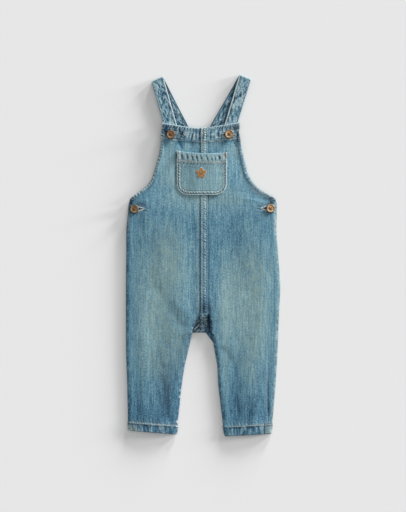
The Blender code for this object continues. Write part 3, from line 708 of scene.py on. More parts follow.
def front_look(half, x, level, side):
    """The faded and rumpled cloth of a front panel, and then each hem, seam and buttonhole on it."""
    y = row_y(half, x, level)
    look = Look(x, FADE_BASE + patched(FADES, x, y) + 0.05 * unevenness(x, level, 18, 46, 4))
    rumple = 0.08 * unevenness(x, level, 15, 38, 0) + 0.05 * unevenness(x, level, 4.5, 12, 1)
    look.relief += rumple * smoothstep(side / 9)
    look.relief += sum(fold.height * fold_share(fold, x, y) for fold in CREASES)
    # narrow creases are also darkened along their troughs: partly the wash, partly painted shade
    look.fade += sum(0.6 * fold.height * fold_share(fold, x, y) for fold in CREASES if fold.width < 3.2)
    look.dusty += patched(DUSTY, x, y)
    look.dark += patched(DEEP, x, y) * (0.62 - 0.38 * mottled(x, y, 3.4, 6.0, 22))
    add_bib_hem(look, half, x, level)
    add_pocket_edge(look, x, level)
    add_armhole(look, half, level, side)
    add_side(look, level, side)
    add_leg_hem(look, half, x, level)
    add_centre_seam(look, half, x, level)
    add_inseam(look, half, x, level)
    if half == "right":
        add_outer_seam(look, x, level)
    for button in buttons_on(half):
        add_buttonhole(look, button, x, level)
    return look


def outward(grid):
    """Unit normals of a grid whose rows run down the garment and whose columns run to the right."""
    normal = np.cross(np.gradient(grid, axis=0), np.gradient(grid, axis=1))
    return normal / np.maximum(np.linalg.norm(normal, axis=2, keepdims=True), 1e-9)


def left_to_right(half, grid):
    """A half's grid, made from its side edge to the centre, with its columns in order along +X."""
    return grid[:, ::-1] if half == "right" else grid


def new_object(name, data):
    """A new object with the given data, linked into the scene."""
    piece = bpy.data.objects.new(name, data)
    bpy.context.scene.collection.objects.link(piece)
    return piece


def cloth_piece(name, under, over, looks, material, keep=None):
    """A closed piece of cloth between two grids of points, in mm, without the cells that keep leaves out."""
    rows, columns = under.shape[:2]
    count = rows * columns
    index = np.arange(count).reshape(rows, columns)
    keep = np.ones((rows - 1, columns - 1), bool) if keep is None else keep
    corners = (index[:-1, :-1], index[1:, :-1], index[1:, 1:], index[:-1, 1:])
    cells = np.stack([corner[keep] for corner in corners], axis=1)
    starts, ends = cells.ravel(), np.roll(cells, -1, axis=1).ravel()
    single = ~np.isin(starts * count + ends, ends * count + starts)
    starts, ends = starts[single], ends[single]
    walls = np.stack([ends + count, starts + count, starts, ends], axis=1)
    faces = np.concatenate([cells + count, cells[:, ::-1], walls])
    used, faces = np.unique(faces, return_inverse=True)
    points = np.concatenate([under.reshape(-1, 3), over.reshape(-1, 3)])[used] * MM
    mesh = bpy.data.meshes.new(name)
    mesh.from_pydata(points.tolist(), [], faces.reshape(-1, 4).tolist())
    for title, values in looks.items():
        both = np.concatenate([values.ravel(), values.ravel()])[used]
        mesh.attributes.new(title, "FLOAT", "POINT").data.foreach_set("value", both.astype(np.float32))
    mesh.shade_smooth()
    mesh.set_sharp_from_angle(angle=math.radians(55))
    mesh.materials.append(material)
    return new_object(name, mesh)


def colour(hex_code):
    """sRGB hex to the linear colour that a shader takes."""
    parts = [int(hex_code[i:i + 2], 16) / 255 for i in (1, 3, 5)]
    return (*[p / 12.92 if p <= 0.04045 else ((p + 0.055) / 1.055) ** 2.4 for p in parts], 1.0)


def add_node(tree, kind, settings=None, inputs=None):
    """Add a node; an input is given by its name or number, as a value or as another node's output."""
    node = tree.nodes.new(kind)
    for name, value in (settings or {}).items():
        setattr(node, name, value)
    for key, value in (inputs or {}).items():
        if isinstance(value, bpy.types.NodeSocket):
            tree.links.new(value, node.inputs[key])
        else:
            node.inputs[key].default_value = value
    return node


def new_material(name):
    """A material, its nodes and its shader."""
    material = bpy.data.materials.new(name)
    material.use_nodes = True
    tree = material.node_tree
    return material, tree, tree.nodes["Principled BSDF"]


# Real slubs are 0.5 to 1 mm wide and the twill's lines 0.7 mm apart; both are drawn about half as coarse
# again, so that they show at the size at which the whole garment is seen. Sizes are in mm; fade is how much
# of the cloth's tone a grain makes.
Grain = namedtuple("Grain", "name width length detail low high fade")
GRAINS = [
    Grain("slub", 1.7, 26.0, 2.0, 0.30, 0.70, 0.21),
    Grain("broad slub", 3.4, 60.0, 1.0, 0.32, 0.68, 0.04),
    Grain("speckle", 1.6, 1.8, 1.0, 0.32, 0.68, 0.23),
    Grain("mottle", 6.5, 10.4, 3.0, 0.32, 0.68, 0.05),
]
GRAIN_DEPTH = 4.0
TWILL = 1.1
TWILL_ANGLE = 62.0
TWILL_FADE = 0.07
WAVE = 0.314                # length of a wave in Blender's wave texture at a scale of 1
DENIM_STOPS = [(0.0, "#21465F"), (0.25, "#3E6B85"), (0.50, "#568499"), (0.75, "#7097A5"), (1.0, "#8CAEB6")]
DUSTY_COLOUR = "#7E8A76"
WORN_COLOUR = "#C6CFCC"
# dark tints that the dark attribute mixes in: unwashed indigo, and painted shade in hollows, gaps and on
# flanks
INDIGO_AND_SHADE = "#0F2A39"
NAVY_AND_SHADE = "#163A60"
MULTIPLY = {"operation": "MULTIPLY"}
MULTIPLY_ADD = {"operation": "MULTIPLY_ADD"}
MIX_COLOURS = {"data_type": "RGBA"}


def make_denim(name, turn=0.0):
    """Stonewashed indigo cotton twill, 320 g/m2: matt, streaked along the warp by its slubs, whitish where
    the edges rubbed bare in the wash and still dark blue where the cloth was creased; its dark mix also
    paints shade.
    The warp can turn."""
    material, tree, shader = new_material(name)
    place = add_node(tree, "ShaderNodeTexCoord").outputs["Object"]
    warp = add_node(tree, "ShaderNodeMapping", inputs={
        "Vector": place, "Rotation": (0, 0, -turn)}).outputs[0]
    looks = {title: add_node(tree, "ShaderNodeAttribute", {"attribute_name": title}).outputs["Fac"]
             for title in ("fade", "dusty", "worn", "dark")}
    grains = {}
    tone = looks["fade"]
    for grain in GRAINS:
        scale = [1 / (size * MM) for size in (grain.width, grain.length, GRAIN_DEPTH)]
        scaled = add_node(tree, "ShaderNodeMapping", inputs={"Vector": warp, "Scale": scale}).outputs[0]
        noise = add_node(tree, "ShaderNodeTexNoise", inputs={
            "Vector": scaled, "Scale": 1.0, "Detail": grain.detail}).outputs["Fac"]
        grains[grain.name] = add_node(tree, "ShaderNodeMapRange", inputs={
            "Value": noise, "From Min": grain.low, "From Max": grain.high, "To Min": -1.0}).outputs[0]
        tone = add_node(tree, "ShaderNodeMath", MULTIPLY_ADD, {
            0: grains[grain.name], 1: grain.fade, 2: tone}).outputs[0]
    diagonal = add_node(tree, "ShaderNodeMapping", inputs={
        "Vector": warp, "Rotation": (0, 0, math.radians(TWILL_ANGLE))}).outputs[0]
    twill = add_node(tree, "ShaderNodeTexWave", {"bands_direction": "X"}, {
        "Vector": diagonal, "Scale": WAVE / (TWILL * MM), "Distortion": 0.8, "Detail": 1.0,
        "Detail Scale": 2.0}).outputs["Fac"]
    tone = add_node(tree, "ShaderNodeMath", MULTIPLY_ADD, {0: twill, 1: TWILL_FADE, 2: tone}).outputs[0]
    ramp = add_node(tree, "ShaderNodeValToRGB", inputs={"Fac": tone})
    while len(ramp.color_ramp.elements) < len(DENIM_STOPS):
        ramp.color_ramp.elements.new(0.5)
    for element, (at, hex_code) in zip(ramp.color_ramp.elements, DENIM_STOPS):
        element.position = at
        element.color = colour(hex_code)

    # over the plain tone: the wash's greenish cast, then the rubbed threads, then unwashed dark and painted
    # shade
    unwashed_and_shade = add_node(tree, "ShaderNodeMix", MIX_COLOURS, {
        0: grains["mottle"], 6: colour(INDIGO_AND_SHADE), 7: colour(NAVY_AND_SHADE)}).outputs[2]
    washed = ramp.outputs["Color"]
    for title, grain, swing, mean, tint in (("dusty", "mottle", 0.10, 0.35, colour(DUSTY_COLOUR)),
                                            ("worn", "speckle", 0.25, 0.80, colour(WORN_COLOUR)),
                                            ("dark", "slub", 0.25, 0.80, unwashed_and_shade)):
        uneven = add_node(tree, "ShaderNodeMath", MULTIPLY_ADD, {
            0: grains[grain], 1: swing, 2: mean}).outputs[0]
        share = add_node(tree, "ShaderNodeMath", MULTIPLY, {0: looks[title], 1: uneven}).outputs[0]
        washed = add_node(tree, "ShaderNodeMix", MIX_COLOURS, {0: share, 6: washed, 7: tint}).outputs[2]
    tree.links.new(washed, shader.inputs["Base Color"])
    ribs = add_node(tree, "ShaderNodeMath", MULTIPLY_ADD, {0: twill, 1: 0.6, 2: grains["mottle"]}).outputs[0]
    weave = add_node(tree, "ShaderNodeMath", MULTIPLY_ADD, {0: grains["slub"], 1: 0.45, 2: ribs}).outputs[0]
    relief = add_node(tree, "ShaderNodeBump", inputs={
        "Height": weave, "Strength": 0.35, "Distance": 0.16 * MM})
    tree.links.new(relief.outputs["Normal"], shader.inputs["Normal"])
    shader.inputs["Roughness"].default_value = 0.88
    shader.inputs["Specular IOR Level"].default_value = 0.22
    shader.inputs["Sheen Weight"].default_value = 0.08
    shader.inputs["Sheen Roughness"].default_value = 0.55
    return material


def front_cells(half, levels, x):
    """Which cells of a front's grid are cloth: not the lap beside a leg, and not an open buttonhole."""
    keep = np.ones((len(levels) - 1, x.shape[1] - 1), bool)
    keep[levels[1:] < LAP_END[half] - 0.01, 1 - len(LAP_SHARES):] = False
    keep = left_to_right(half, keep)
    for button in buttons_on(half):
        slit = row_level(button.x, button.y) + SLIT_HALF
        row = int(np.argmin(np.abs(levels - slit)))
        middles = (x[row, :-1] + x[row, 1:]) / 2
        low, high = sorted(slit_ends(button))
        keep[row] &= ~((middles > low) & (middles < high))
    return keep


def make_front(half, material):
    """One front panel. The right one steps up over the left where it laps over it as the fell."""
    levels = front_rows(half)
    x = left_to_right(half, front_columns(half, levels))
    level = np.repeat(levels[:, None], x.shape[1], axis=1)
    side = np.abs(x - side_edge(half, level)) / edge_slant(half, level)
    base, wall = front_underside(x, level), front_wall(half, side, level)
    look = front_look(half, x, level, side)
    if half == "left":
        look.relief *= 1 - smoothstep((x - FELL_LEFT + 1.0) / 1.0) * (level > SEAM_END_Y)
    else:
        on_fell = smoothstep((FELL_FOOT - x) / (FELL_FOOT - FELL_RIGHT))
        base = base + on_fell * (wall + GAP)
        wall = wall * (1 - on_fell) + CLOTH * on_fell
        wall -= 0.55 * smoothstep((FELL_LEFT + 2.2 - x) / 2.0)
    under = np.stack([x, row_y(half, x, level), base], axis=2)
    over = under + outward(under) * (wall + look.relief)[:, :, None]
    keep = front_cells(half, levels, x)
    return cloth_piece("front_cloth_" + half, under, over, look.attributes(), material, keep)


front_denim = make_denim("washed indigo denim, front")
fronts = {}
for half in ("left", "right"):
    fronts[half] = make_front(half, front_denim)
    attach(fronts[half], "root")
    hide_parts("front_" + half)

# ------------------------------------------------------------
# Back panels: the same denim, flat against the surface. Under the bib they end in a low back between the
# straps. At the crotch the four seams meet in a thick puckered web, which shows between the legs.
# ------------------------------------------------------------
CROTCH_Y = -111.8
SPLIT_Y = -112.4            # from here down the backs are two legs
WEB_LOW_Y = -134.0          # from here down the legs' inner edges follow the fronts'
BACK_INSET = 2.4            # how far their edges lie inside those of the fronts
BACK_TOP = 170.0
BACK_HEM = 1.8              # thickness of a leg's hem
BACK_LEG_HEM = 12.0
# distances of the backs' columns from their side edge
BACK_SIDE_STEPS = np.array([0.0, 0.3, 0.8, 1.6, 2.6, 3.8, 5.0, 6.4])
BACK_CENTRE_BAND = 15.0
BACK_COLUMNS_BETWEEN = 29
FELL_HIGH = 6.3             # top of the felled seam where it dives between the legs
WEB_WALL = 2.0
BACKS = [
    Side(170.0, -34.0, 24.0),
    Side(152.0, -37.0, 27.0),
    Side(136.0, -43.0, 34.0),
    Side(120.0, -53.0, 46.0),
    Side(106.0, -66.0, 62.0),
    Side(95.0, -80.0, 76.0),
    Side(86.0, -97.0, 95.0),
    Side(80.0, -105.4, 104.8),
]
BACK_CROTCH = [
    Side(CROTCH_Y, CENTRE_X - 0.02, CENTRE_X + 0.02),
    Side(SPLIT_Y, -18.8, 4.2),
    Side(-128.0, -21.5, 15.9),
    Side(WEB_LOW_Y, -22.9, 18.6),
]


def back_rows(half):
    """Levels of a back's rows, closer together at the crotch and in the leg's hem."""
    hem, web_top = HEM_LEVEL[half], SEAM_END_Y - 0.2
    return np.array(banded([
        (BACK_TOP, SEAM_END_Y, 2.6), (SEAM_END_Y, web_top, 0.1), (web_top, CROTCH_Y, 0.9),
        (CROTCH_Y, SPLIT_Y, 0.6), (SPLIT_Y, WEB_LOW_Y, 1.4), (WEB_LOW_Y, hem + HEM_BAND, 2.6),
        (hem + HEM_BAND, hem, 1.0)]))


def back_edges(half, levels):
    """X of a back's side edge, and of its edge at the centre and then inside the leg."""
    low_side = read_curve(SIDES, levels, half) + INWARD[half] * BACK_INSET
    outer = np.where(levels >= ARMHOLE_Y, read_curve(BACKS, levels, half), low_side)
    leg = read_curve(INSEAMS, levels, half) - INWARD[half] * BACK_INSET
    inner = np.where(levels >= WEB_LOW_Y, read_line(BACK_CROTCH, levels, half), leg)
    return outer[:, None], inner[:, None]


def back_columns(half, outer, inner):
    """X of each column of a back, closer together at its edges and where the fell steps down."""
    flank = FELL_RIGHT - CENTRE_X
    steps = [0.0, 0.3, 0.8] + spread(1.6, flank, 0.9) + [flank, flank + 0.2]
    steps = np.array(steps + spread(flank + 0.9, BACK_CENTRE_BAND, 0.8) + [BACK_CENTRE_BAND])
    near_side, near_centre = outer + INWARD[half] * BACK_SIDE_STEPS, inner - INWARD[half] * steps[::-1]
    return filled(near_side, near_centre, BACK_COLUMNS_BETWEEN)


def crotch_web(level):
    """1 where the seams meet between the end of the fell and the crotch."""
    return smoothstep((SEAM_END_Y - 1 - level) / 3) * smoothstep((level - CROTCH_Y + 0.4) / 0.8)


def fell_dive(x, level):
    """1 where the felled seam goes on below the fronts, and less as it dives towards the crotch."""
    fell = smoothstep((x - FELL_LEFT + 0.5) / 0.9) * (x < FELL_RIGHT + 0.1)
    return fell * smoothstep((level + 111) / 28) * (level < SEAM_END_Y - 0.15)


def back_look(half, x, level, from_side, from_centre):
    """Plain faded cloth, drawn into deep folds at the crotch, where it is also painted dark as shade."""
    web = crotch_web(level)
    drawn = web * smoothstep((17 - from_centre) / 4)
    strip = smoothstep((x - FELL_LEFT) / 1.5) * smoothstep((FELL_RIGHT - x) / 1.5)
    rising = -0.9 if half == "left" else -0.3
    folds = 0.7 * mottled(x + rising * level, level, 2.6, 5.0, 30)
    folds = folds + 0.9 * ticks(level + rising * x, x, 7.0, 0, 31)
    look = Look(x, 0.42 + 0.12 * unevenness(x, level, 24, 60, 33))
    look.rub(drawn * (1 - 0.85 * strip), np.clip(folds - 0.15, -1, 1), 0.50, 0.62, 1.0)
    look.rub(drawn * strip, mottled(x, level, 1.7, 8.0, 36) - 0.2, 0.25, 0.40, 0.60)
    # the web between the legs is painted dark, bluer and greenish as shade, besides its folds
    look.dark += drawn * 0.55
    look.dusty += 0.3 * drawn
    look.relief += folded_edge(np.minimum(from_side, level - HEM_LEVEL[half] + 0.01), 0.6)
    look.fade -= 0.12 * drawn
    # painted shade at the top of the legs, near the crotch
    shaded = smoothstep((-108 - level) / 4) * smoothstep((level - WEB_LOW_Y) / 4)
    look.fade -= 0.25 * shaded * smoothstep((20 - from_centre) / 6)
    if half == "right":
        on_fell = fell_dive(x, level) * hump(x - 2.6, 2.0)
        look.rub(on_fell, ticks(level, x, 4.2, 0.5, 14), 0.0, 0.24, 0.30)
        look.worn += web * 0.25 * hump(x + 1.3, 1.0) * smoothstep((level + 104) / 5)
        # painted shade down both flanks of the fell where it dives between the legs
        look.dark += web * (1.2 * hump(x - 7.6, 2.6) + 0.50 * hump(x + 5.0, 0.9))
    return look


def back_hollow(x, level, up, from_side, from_centre):
    """How far the underside lies off the surface, along the seams and hems, in creases and at the edges."""
    seam = smoothstep((level - CROTCH_Y) / 4) * (level < BACK_TOP - 4)
    groove = seam * (hump(from_centre - 2.0, 0.7) + hump(from_centre - 8.0, 0.7))
    groove += hump(up - BACK_LEG_HEM + 1.5, 0.8) + hump(from_side - 1.6, 0.8) * (level < ARMHOLE_Y)
    creases = sum(-0.3 * fold.height * fold_share(fold, x, level) for fold in CREASES if fold.width < 3.5)
    hollow = np.clip(0.16 * groove + creases + 0.05 * (1 + unevenness(x, level, 16, 40, 32)), 0, 0.4)
    edge = np.minimum(np.minimum(from_side, from_centre), np.minimum(up, BACK_TOP - level))
    return np.maximum(hollow * smoothstep(edge / 3), -folded_edge(edge, 0.3) * (from_centre > 0.3))


def make_back(half, material):
    """One back panel, thicker in the leg's hem and at the crotch."""
    levels = back_rows(half)
    outer, inner = back_edges(half, levels)
    x = left_to_right(half, back_columns(half, outer, inner))
    level = np.repeat(levels[:, None], x.shape[1], axis=1)
    up, from_side, from_centre = level - HEM_LEVEL[half], np.abs(x - outer), np.abs(x - inner)
    in_hem = smoothstep((BACK_LEG_HEM + 0.6 - up) / 1.2) * smoothstep((from_side - 5) / 1.5)
    in_web = crotch_web(level) * smoothstep((11.5 - from_centre) / 3)
    wall = CLOTH + (BACK_HEM - CLOTH) * in_hem + (WEB_WALL - CLOTH) * in_web
    if half == "right":
        wall += (FELL_HIGH - wall) * fell_dive(x, level)
    look = back_look(half, x, level, from_side, from_centre)
    hollow = back_hollow(x, level, up, from_side, from_centre)
    y = row_y(half, x, level) - bib_bend(x, level)
    under = np.stack([x, y, hollow], axis=2)
    over = np.stack([x, y, np.maximum(wall + look.relief, hollow + 0.5)], axis=2)
    return cloth_piece("back_cloth_" + half, under, over, look.attributes(), material)


back_denim = make_denim("washed indigo denim, back")
backs = {}
for half in ("left", "right"):
    backs[half] = make_back(half, back_denim)
    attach(backs[half], "root")
    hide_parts("back_" + half)

# ------------------------------------------------------------
# Bib pocket: one layer of the same denim with a wide turned hem at its opening, laid over the centre seam
# and sewn round with two rows of stitches. Its edge is rubbed whitish; the hem is drawn into loops.
# ------------------------------------------------------------
POCKET_RIGHT = 34.8
POCKET_HEM = 14.5
POCKET_RADIUS = 17.0        # of its lower corners
POCKET_SAG = 2.6            # how far its opening sags in the middle
POCKET_LEAN = -0.033        # and the slope of its opening
POCKET_EVEN = 0.84          # share of its half width in which the columns are evenly spaced
POCKET_ROWS = (1.7, 5.4)    # from the edge to its two rows of stitches
POCKET_HEM_ROW = 1.2        # from the hem's lower edge up to its row
POCKET_MIDDLE = (POCKET_LEFT + POCKET_RIGHT) / 2
POCKET_HALF = (POCKET_RIGHT - POCKET_LEFT) / 2
POCKET_TALL = POCKET_TOP - POCKET_BOTTOM


def pocket_reach(above, inset=0.0):
    """Half width at a height above the pocket's lower edge, inside its outline by inset."""
    radius = POCKET_RADIUS - inset
    cut = np.clip(POCKET_RADIUS - above, 0.0, radius)
    return POCKET_HALF - POCKET_RADIUS + np.sqrt(radius ** 2 - cut ** 2)


def pocket_y(x, above):
    """Where a row of the pocket lies at x: the nearer to the opening, the more it sags and slopes."""
    hang = POCKET_SAG * (1 - ((x - POCKET_MIDDLE) / POCKET_HALF) ** 2) - POCKET_LEAN * (x - POCKET_MIDDLE)
    return POCKET_BOTTOM + above - hang * above / POCKET_TALL


def pocket_grid():
    """X of each point and its height above the pocket's lower edge, closer together round the outline."""
    turn = [POCKET_RADIUS * (1 - math.cos(math.radians(angle))) for angle in range(0, 88, 4)]
    above = np.array(turn[:-1] + spread(turn[-1], POCKET_TALL, 0.85) + [POCKET_TALL])[::-1, None]
    near_edge = POCKET_EVEN + (1 - POCKET_EVEN) * np.cos(np.linspace(math.pi / 2, 0, 14))[1:]
    share = np.concatenate([-near_edge[::-1], np.linspace(-POCKET_EVEN, POCKET_EVEN, 64), near_edge])
    x = POCKET_MIDDLE + pocket_reach(above) * share[None, :]
    return x, np.repeat(above, x.shape[1], axis=1)


def pocket_away(x, above):
    """Distance from the pocket's sides and from its rounded lower corners."""
    off = np.abs(x - POCKET_MIDDLE)
    past_corner = np.maximum(off - POCKET_HALF + POCKET_RADIUS, 0)
    corner = POCKET_RADIUS - np.hypot(past_corner, np.maximum(POCKET_RADIUS - above, 0))
    return np.minimum(corner, POCKET_HALF - off)


def pocket_look(x, above):
    """Rubbed whitish along its edge, with dark lines beside the stitches and loops in the hem."""
    away, down = pocket_away(x, above), POCKET_TALL - above
    along = np.where(above > POCKET_RADIUS, above, x)
    in_hem = smoothstep((POCKET_HEM + 0.6 - down) / 1.2)
    sides = 1 - smoothstep((away - 6.4) / 0.8)
    look = Look(x, 0.70 + 0.10 * unevenness(x, above, 12, 22, 43))
    look.fade += 0.06 * hump(x - 10, 12) * hump(above - 18, 18)
    look.fade += 0.09 * hump(x + 8, 22) * hump(above - 16, 20)
    look.fade -= 0.12 * hump(x + 14, 16) * hump(above - 40, 8)
    look.fade -= 0.08 * hump(down - POCKET_HEM - 4, 5)
    look.dusty += 0.5
    look.relief += folded_edge(away, 0.8) * (away < 0.8) + folded_edge(down, 1.0) * (down < 1.0)
    look.relief += 0.08 * unevenness(x, above, 9, 14, 41)
    look.relief -= 0.3 * sum(hump(away - row, 0.6) for row in POCKET_ROWS)
    look.relief -= 0.20 * hump(down - POCKET_HEM + POCKET_HEM_ROW, 0.6)
    look.rub(sides * hump(away - 3.2, 1.8), ticks(along, away, 4.6, 0.7, 40), 0.22, 0.16, 0.42)
    look.worn += sides * (0.66 * hump(away - 0.7, 1.1) + (0.40 + 0.2 * in_hem) * hump(away - 4.6, 0.9))
    look.dark += 0.85 * hump(away - 2.5, 0.8) + 0.30 * hump(away - 6.6, 0.8)
    loops = 1.1 * ticks(x + 2.4 * unevenness(x, down, 13.0, 40.0, 49), down, 7.4, -0.15, 48)
    loops = np.clip(loops + 0.9 * mottled(x - 0.2 * down, down, 2.4, 3.4, 46), -1, 1)
    look.rub(in_hem * hump(down - 7.6, 4.0), loops, 0.40, 0.36, 1.0)
    look.fade -= 0.20 * hump(down, 1.2)
    look.dark += 0.28 * hump(down, 0.9)
    look.worn += 0.20 * in_hem * hump(down - 1.6, 1.4) + 0.70 * hump(down - POCKET_HEM + 0.4, 1.7)
    look.rub(hump(down - POCKET_HEM - 2.2, 1.4), ticks(x, down, 4.6, 0.2, 44), 0.12, 0.0, 0.85)
    look.rub(hump(down - POCKET_HEM - 5.0, 3.0), ticks(x, down, 5.0, 0.6, 45), 0.12, 0.10, 0.20)
    return look


def make_pocket(material):
    """The pocket rests on the cloth beside the fell and steps up over it, more gently on the outside."""
    x, above = pocket_grid()
    look = pocket_look(x, above)
    low = front_underside(np.array(CENTRE_X), np.array(120.0)) + CLOTH + GAP
    step = smoothstep((x - FELL_LEFT + 8.0) / 7.4) * smoothstep((FELL_FOOT + 8.0 - x) / 7.4)
    gentle = smoothstep((x - FELL_LEFT + 26.0) / 24.0) * smoothstep((FELL_FOOT + 24.0 - x) / 22.0)
    wall = CLOTH + (TURNED - CLOTH) * smoothstep((POCKET_HEM + 3.0 - POCKET_TALL + above) / 6.0)
    high = low + (CLOTH + GAP) * gentle + wall + np.minimum(look.relief, 0.15)
    y = pocket_y(x, above)
    under = np.stack([x, y, low + (CLOTH + GAP) * step], axis=2)
    return cloth_piece("pocket_cloth", under, np.stack([x, y, high], axis=2), look.attributes(), material)


pocket_denim = make_denim("washed indigo denim, pocket")
pocket = make_pocket(pocket_denim)
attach(pocket, "root")
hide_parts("pocket")

# ------------------------------------------------------------
# Shoulder straps: a strip of the same denim, turned in along both sides and sewn flat with an edge row each
# side. Each comes up from the back, turns over at the shoulder and goes down under the bib to its button.
# ------------------------------------------------------------
STRAP_CLOTH = 1.7
STRAP_WIDTH = 18.3
STRAP_TURN = 1.15           # radius of the turn at the shoulder
STRAP_FRONT_REACH = 34.0    # how far the front run goes on under the bib
STRAP_LAP = 12.0            # and the back run over the back panels
STRAP_EASE = 12.0           # rows near the turn slant like its crease, as far as this
# heights of a strap's middle layer: on the surface, over its own back run, at the bib and on the back panels
STRAP_LOW = STRAP_CLOTH / 2
STRAP_FRONT_HIGH = STRAP_LOW + 2 * STRAP_TURN
STRAP_BIB_HIGH = 2.95
STRAP_BACK_HIGH = CLOTH + GAP + STRAP_CLOTH / 2 + 0.05
STRAP_FIRST_ROW = 1.5       # distance of a run's first row from the turn
STRAP_STEP = 1.05
STRAP_EDGE_SHARES = [0.90, 0.95, 0.985, 1.0]
STRAP_ROW = 2.2             # from the strap's edge to its row of stitches
WARP_TO_TILT = 0.66         # the warp follows the strap, whose runs lean by this share of the turn's tilt
Strap = namedtuple("Strap", "name turn_x turn_y tilt bib_x bib_y back_x back_y fade tip_shade rubbed draw")
STRAPS = [
    Strap("strap_left", -66.3, 256.6, 25.0, -48.6, 194.5, -18.1, 163.0, 0.52, 0.18, 0.46, 50),
    Strap("strap_right", 60.9, 259.6, -24.0, 41.6, 195.0, 5.5, 163.0, 0.59, 0.30, 0.50, 56),
]
StrapLine = namedtuple("StrapLine", "centre across run along")


def strap_runs(strap):
    """The middle of the turn, and the way from it to the bib and to the back."""
    turn = Vector((strap.turn_x, strap.turn_y))
    return turn, Vector((strap.bib_x, strap.bib_y)) - turn, Vector((strap.back_x, strap.back_y)) - turn


def strap_steps(length):
    """Distances of a run's rows from the turn."""
    return [STRAP_FIRST_ROW] + spread(STRAP_FIRST_ROW + 0.9, length, STRAP_STEP) + [length]


def strap_lines(strap):
    """Centre, half width, run and distance from the turn of each row, from the front end to the back one.
    The run is 1 in front, 0 in the turn and -1 behind."""
    turn, to_bib, to_back = strap_runs(strap)
    down_front, down_back = to_bib.normalized(), to_back.normalized()
    crease = Vector((math.cos(math.radians(strap.tilt)), math.sin(math.radians(strap.tilt))))
    half = STRAP_WIDTH / 2
    lines = []

    def add_row(direction, along, height, run):
        square = Vector((-direction.y, direction.x))
        if square.dot(crease) < 0:
            square.negate()
        share = float(smoothstep(along / STRAP_EASE))
        across = (crease * (1 - share) + square * share).normalized()
        centre = turn + direction * along
        lines.append(StrapLine((*centre, height), across * half / across.dot(square), run, along))

    for along in reversed(strap_steps(to_bib.length + STRAP_FRONT_REACH)):
        share = min(1.0, along / to_bib.length)
        add_row(down_front, along, STRAP_FRONT_HIGH + (STRAP_BIB_HIGH - STRAP_FRONT_HIGH) * share, 1)
    over = Vector((-crease.y, crease.x)) * STRAP_TURN
    crease_half = crease * half / crease.dot(Vector((-down_front.y, down_front.x)))
    for degrees in range(75, -90, -15):
        angle = math.radians(degrees)
        centre = turn + over * math.cos(angle)
        height = STRAP_LOW + STRAP_TURN * (1 + math.sin(angle))
        lines.append(StrapLine((*centre, height), crease_half, 0, 0.0))
    for along in strap_steps(to_back.length):
        share = float(smoothstep((along - to_back.length + STRAP_LAP + 8) / 8))
        add_row(down_back, along, STRAP_LOW + (STRAP_BACK_HIGH - STRAP_LOW) * share, -1)
    return lines


def strap_look(strap, share, run, along, beside):
    """Crossed marks rubbed in by the wash, ticks along the outer edge, and a pale inner edge with a dark
    line beside it. The back run has a painted shadow beside the front one, from whose middle line beside is
    measured."""
    half = STRAP_WIDTH / 2
    away, across, draw = (1 - np.abs(share)) * half, share * half, strap.draw
    inner = (1 + (1 if strap.tilt > 0 else -1) * share) * half
    front = (run >= 0) * 1.0
    look = Look(away, strap.fade + 0.14 * unevenness(across + 60 * run, along, 7, 18, draw + 4))
    look.fade -= 0.08 * (1 - front)
    look.relief += folded_edge(away, 0.75) + 0.12 * hump(away - 0.9, 0.9)
    look.relief -= 0.30 * hump(away - STRAP_ROW, 0.55)
    slanted = mottled(across + 0.25 * along, along, 1.9, 4.8, draw)
    crossed = mottled(across - 0.40 * along + 60 * run, along, 2.2, 5.4, draw + 2)
    flat = 1 - 0.75 * hump(along, 4.0) * front
    net = np.clip(slanted + 0.9 * crossed, -1, 1)
    look.rub(flat * smoothstep((away - 1.2) / 1.5), net, 0.28, strap.rubbed, 0.86)
    outer = STRAP_WIDTH - inner
    look.rub(front * hump(outer - 0.9, 1.4), ticks(along, away, 3.9, 0.8, draw), 0.25, 0.36, 0.70)
    look.worn += front * 0.80 * hump(inner - 1.1, 1.3) * (0.4 + 0.6 * smoothstep(along / 8))
    # the turn, which faces the lamp, is painted darker as shade, and greenish
    look.fade -= strap.tip_shade * hump(along, 2.6) * front
    look.dusty += 0.9 * hump(along, 3.0) * front
    look.dark += front * 0.60 * hump(inner - 2.9, 0.7) + (1 - front) * (0.70 * hump(inner - 0.4, 1.1) + 0.15)
    # painted shadow of the front run on the back run
    look.dark += (1 - front) * 0.75 * hump(beside - half - 0.8, 1.5) * smoothstep(along / 4)
    look.relief *= np.where(away < 0.75, 1.0, smoothstep(along / 6 + 0.3))
    return look


def make_strap(strap, material):
    """A closed strip along the rows of strap_lines; its worn side is the one that shows on each run."""
    lines = strap_lines(strap)
    shares = [-share for share in reversed(STRAP_EDGE_SHARES)] + [-0.84 + 0.07 * k for k in range(25)]
    share, run = np.meshgrid(np.array(shares + STRAP_EDGE_SHARES), [line.run for line in lines])
    along = np.repeat(np.array([line.along for line in lines])[:, None], share.shape[1], axis=1)
    centre = np.array([line.centre for line in lines])[:, None, :]
    across = np.array([(*line.across, 0.0) for line in lines])[:, None, :]
    grid = centre - across * share[:, :, None]
    down = strap_runs(strap)[1].normalized()
    beside = np.abs((grid[:, :, 0] - strap.turn_x) * down.y - (grid[:, :, 1] - strap.turn_y) * down.x)
    look = strap_look(strap, share, run, along, beside)
    plain = folded_edge((1 - np.abs(share)) * STRAP_WIDTH / 2, 0.5)
    facing = outward(grid)
    over = grid + facing * (STRAP_CLOTH / 2 + np.where(run >= 0, look.relief, plain))[:, :, None]
    over[:, :, 2] = np.maximum(over[:, :, 2], 0.0)
    under = grid - facing * (STRAP_CLOTH / 2 + np.where(run < 0, look.relief, plain))[:, :, None]
    return cloth_piece(strap.name + "_cloth", under, over, look.attributes(), material)


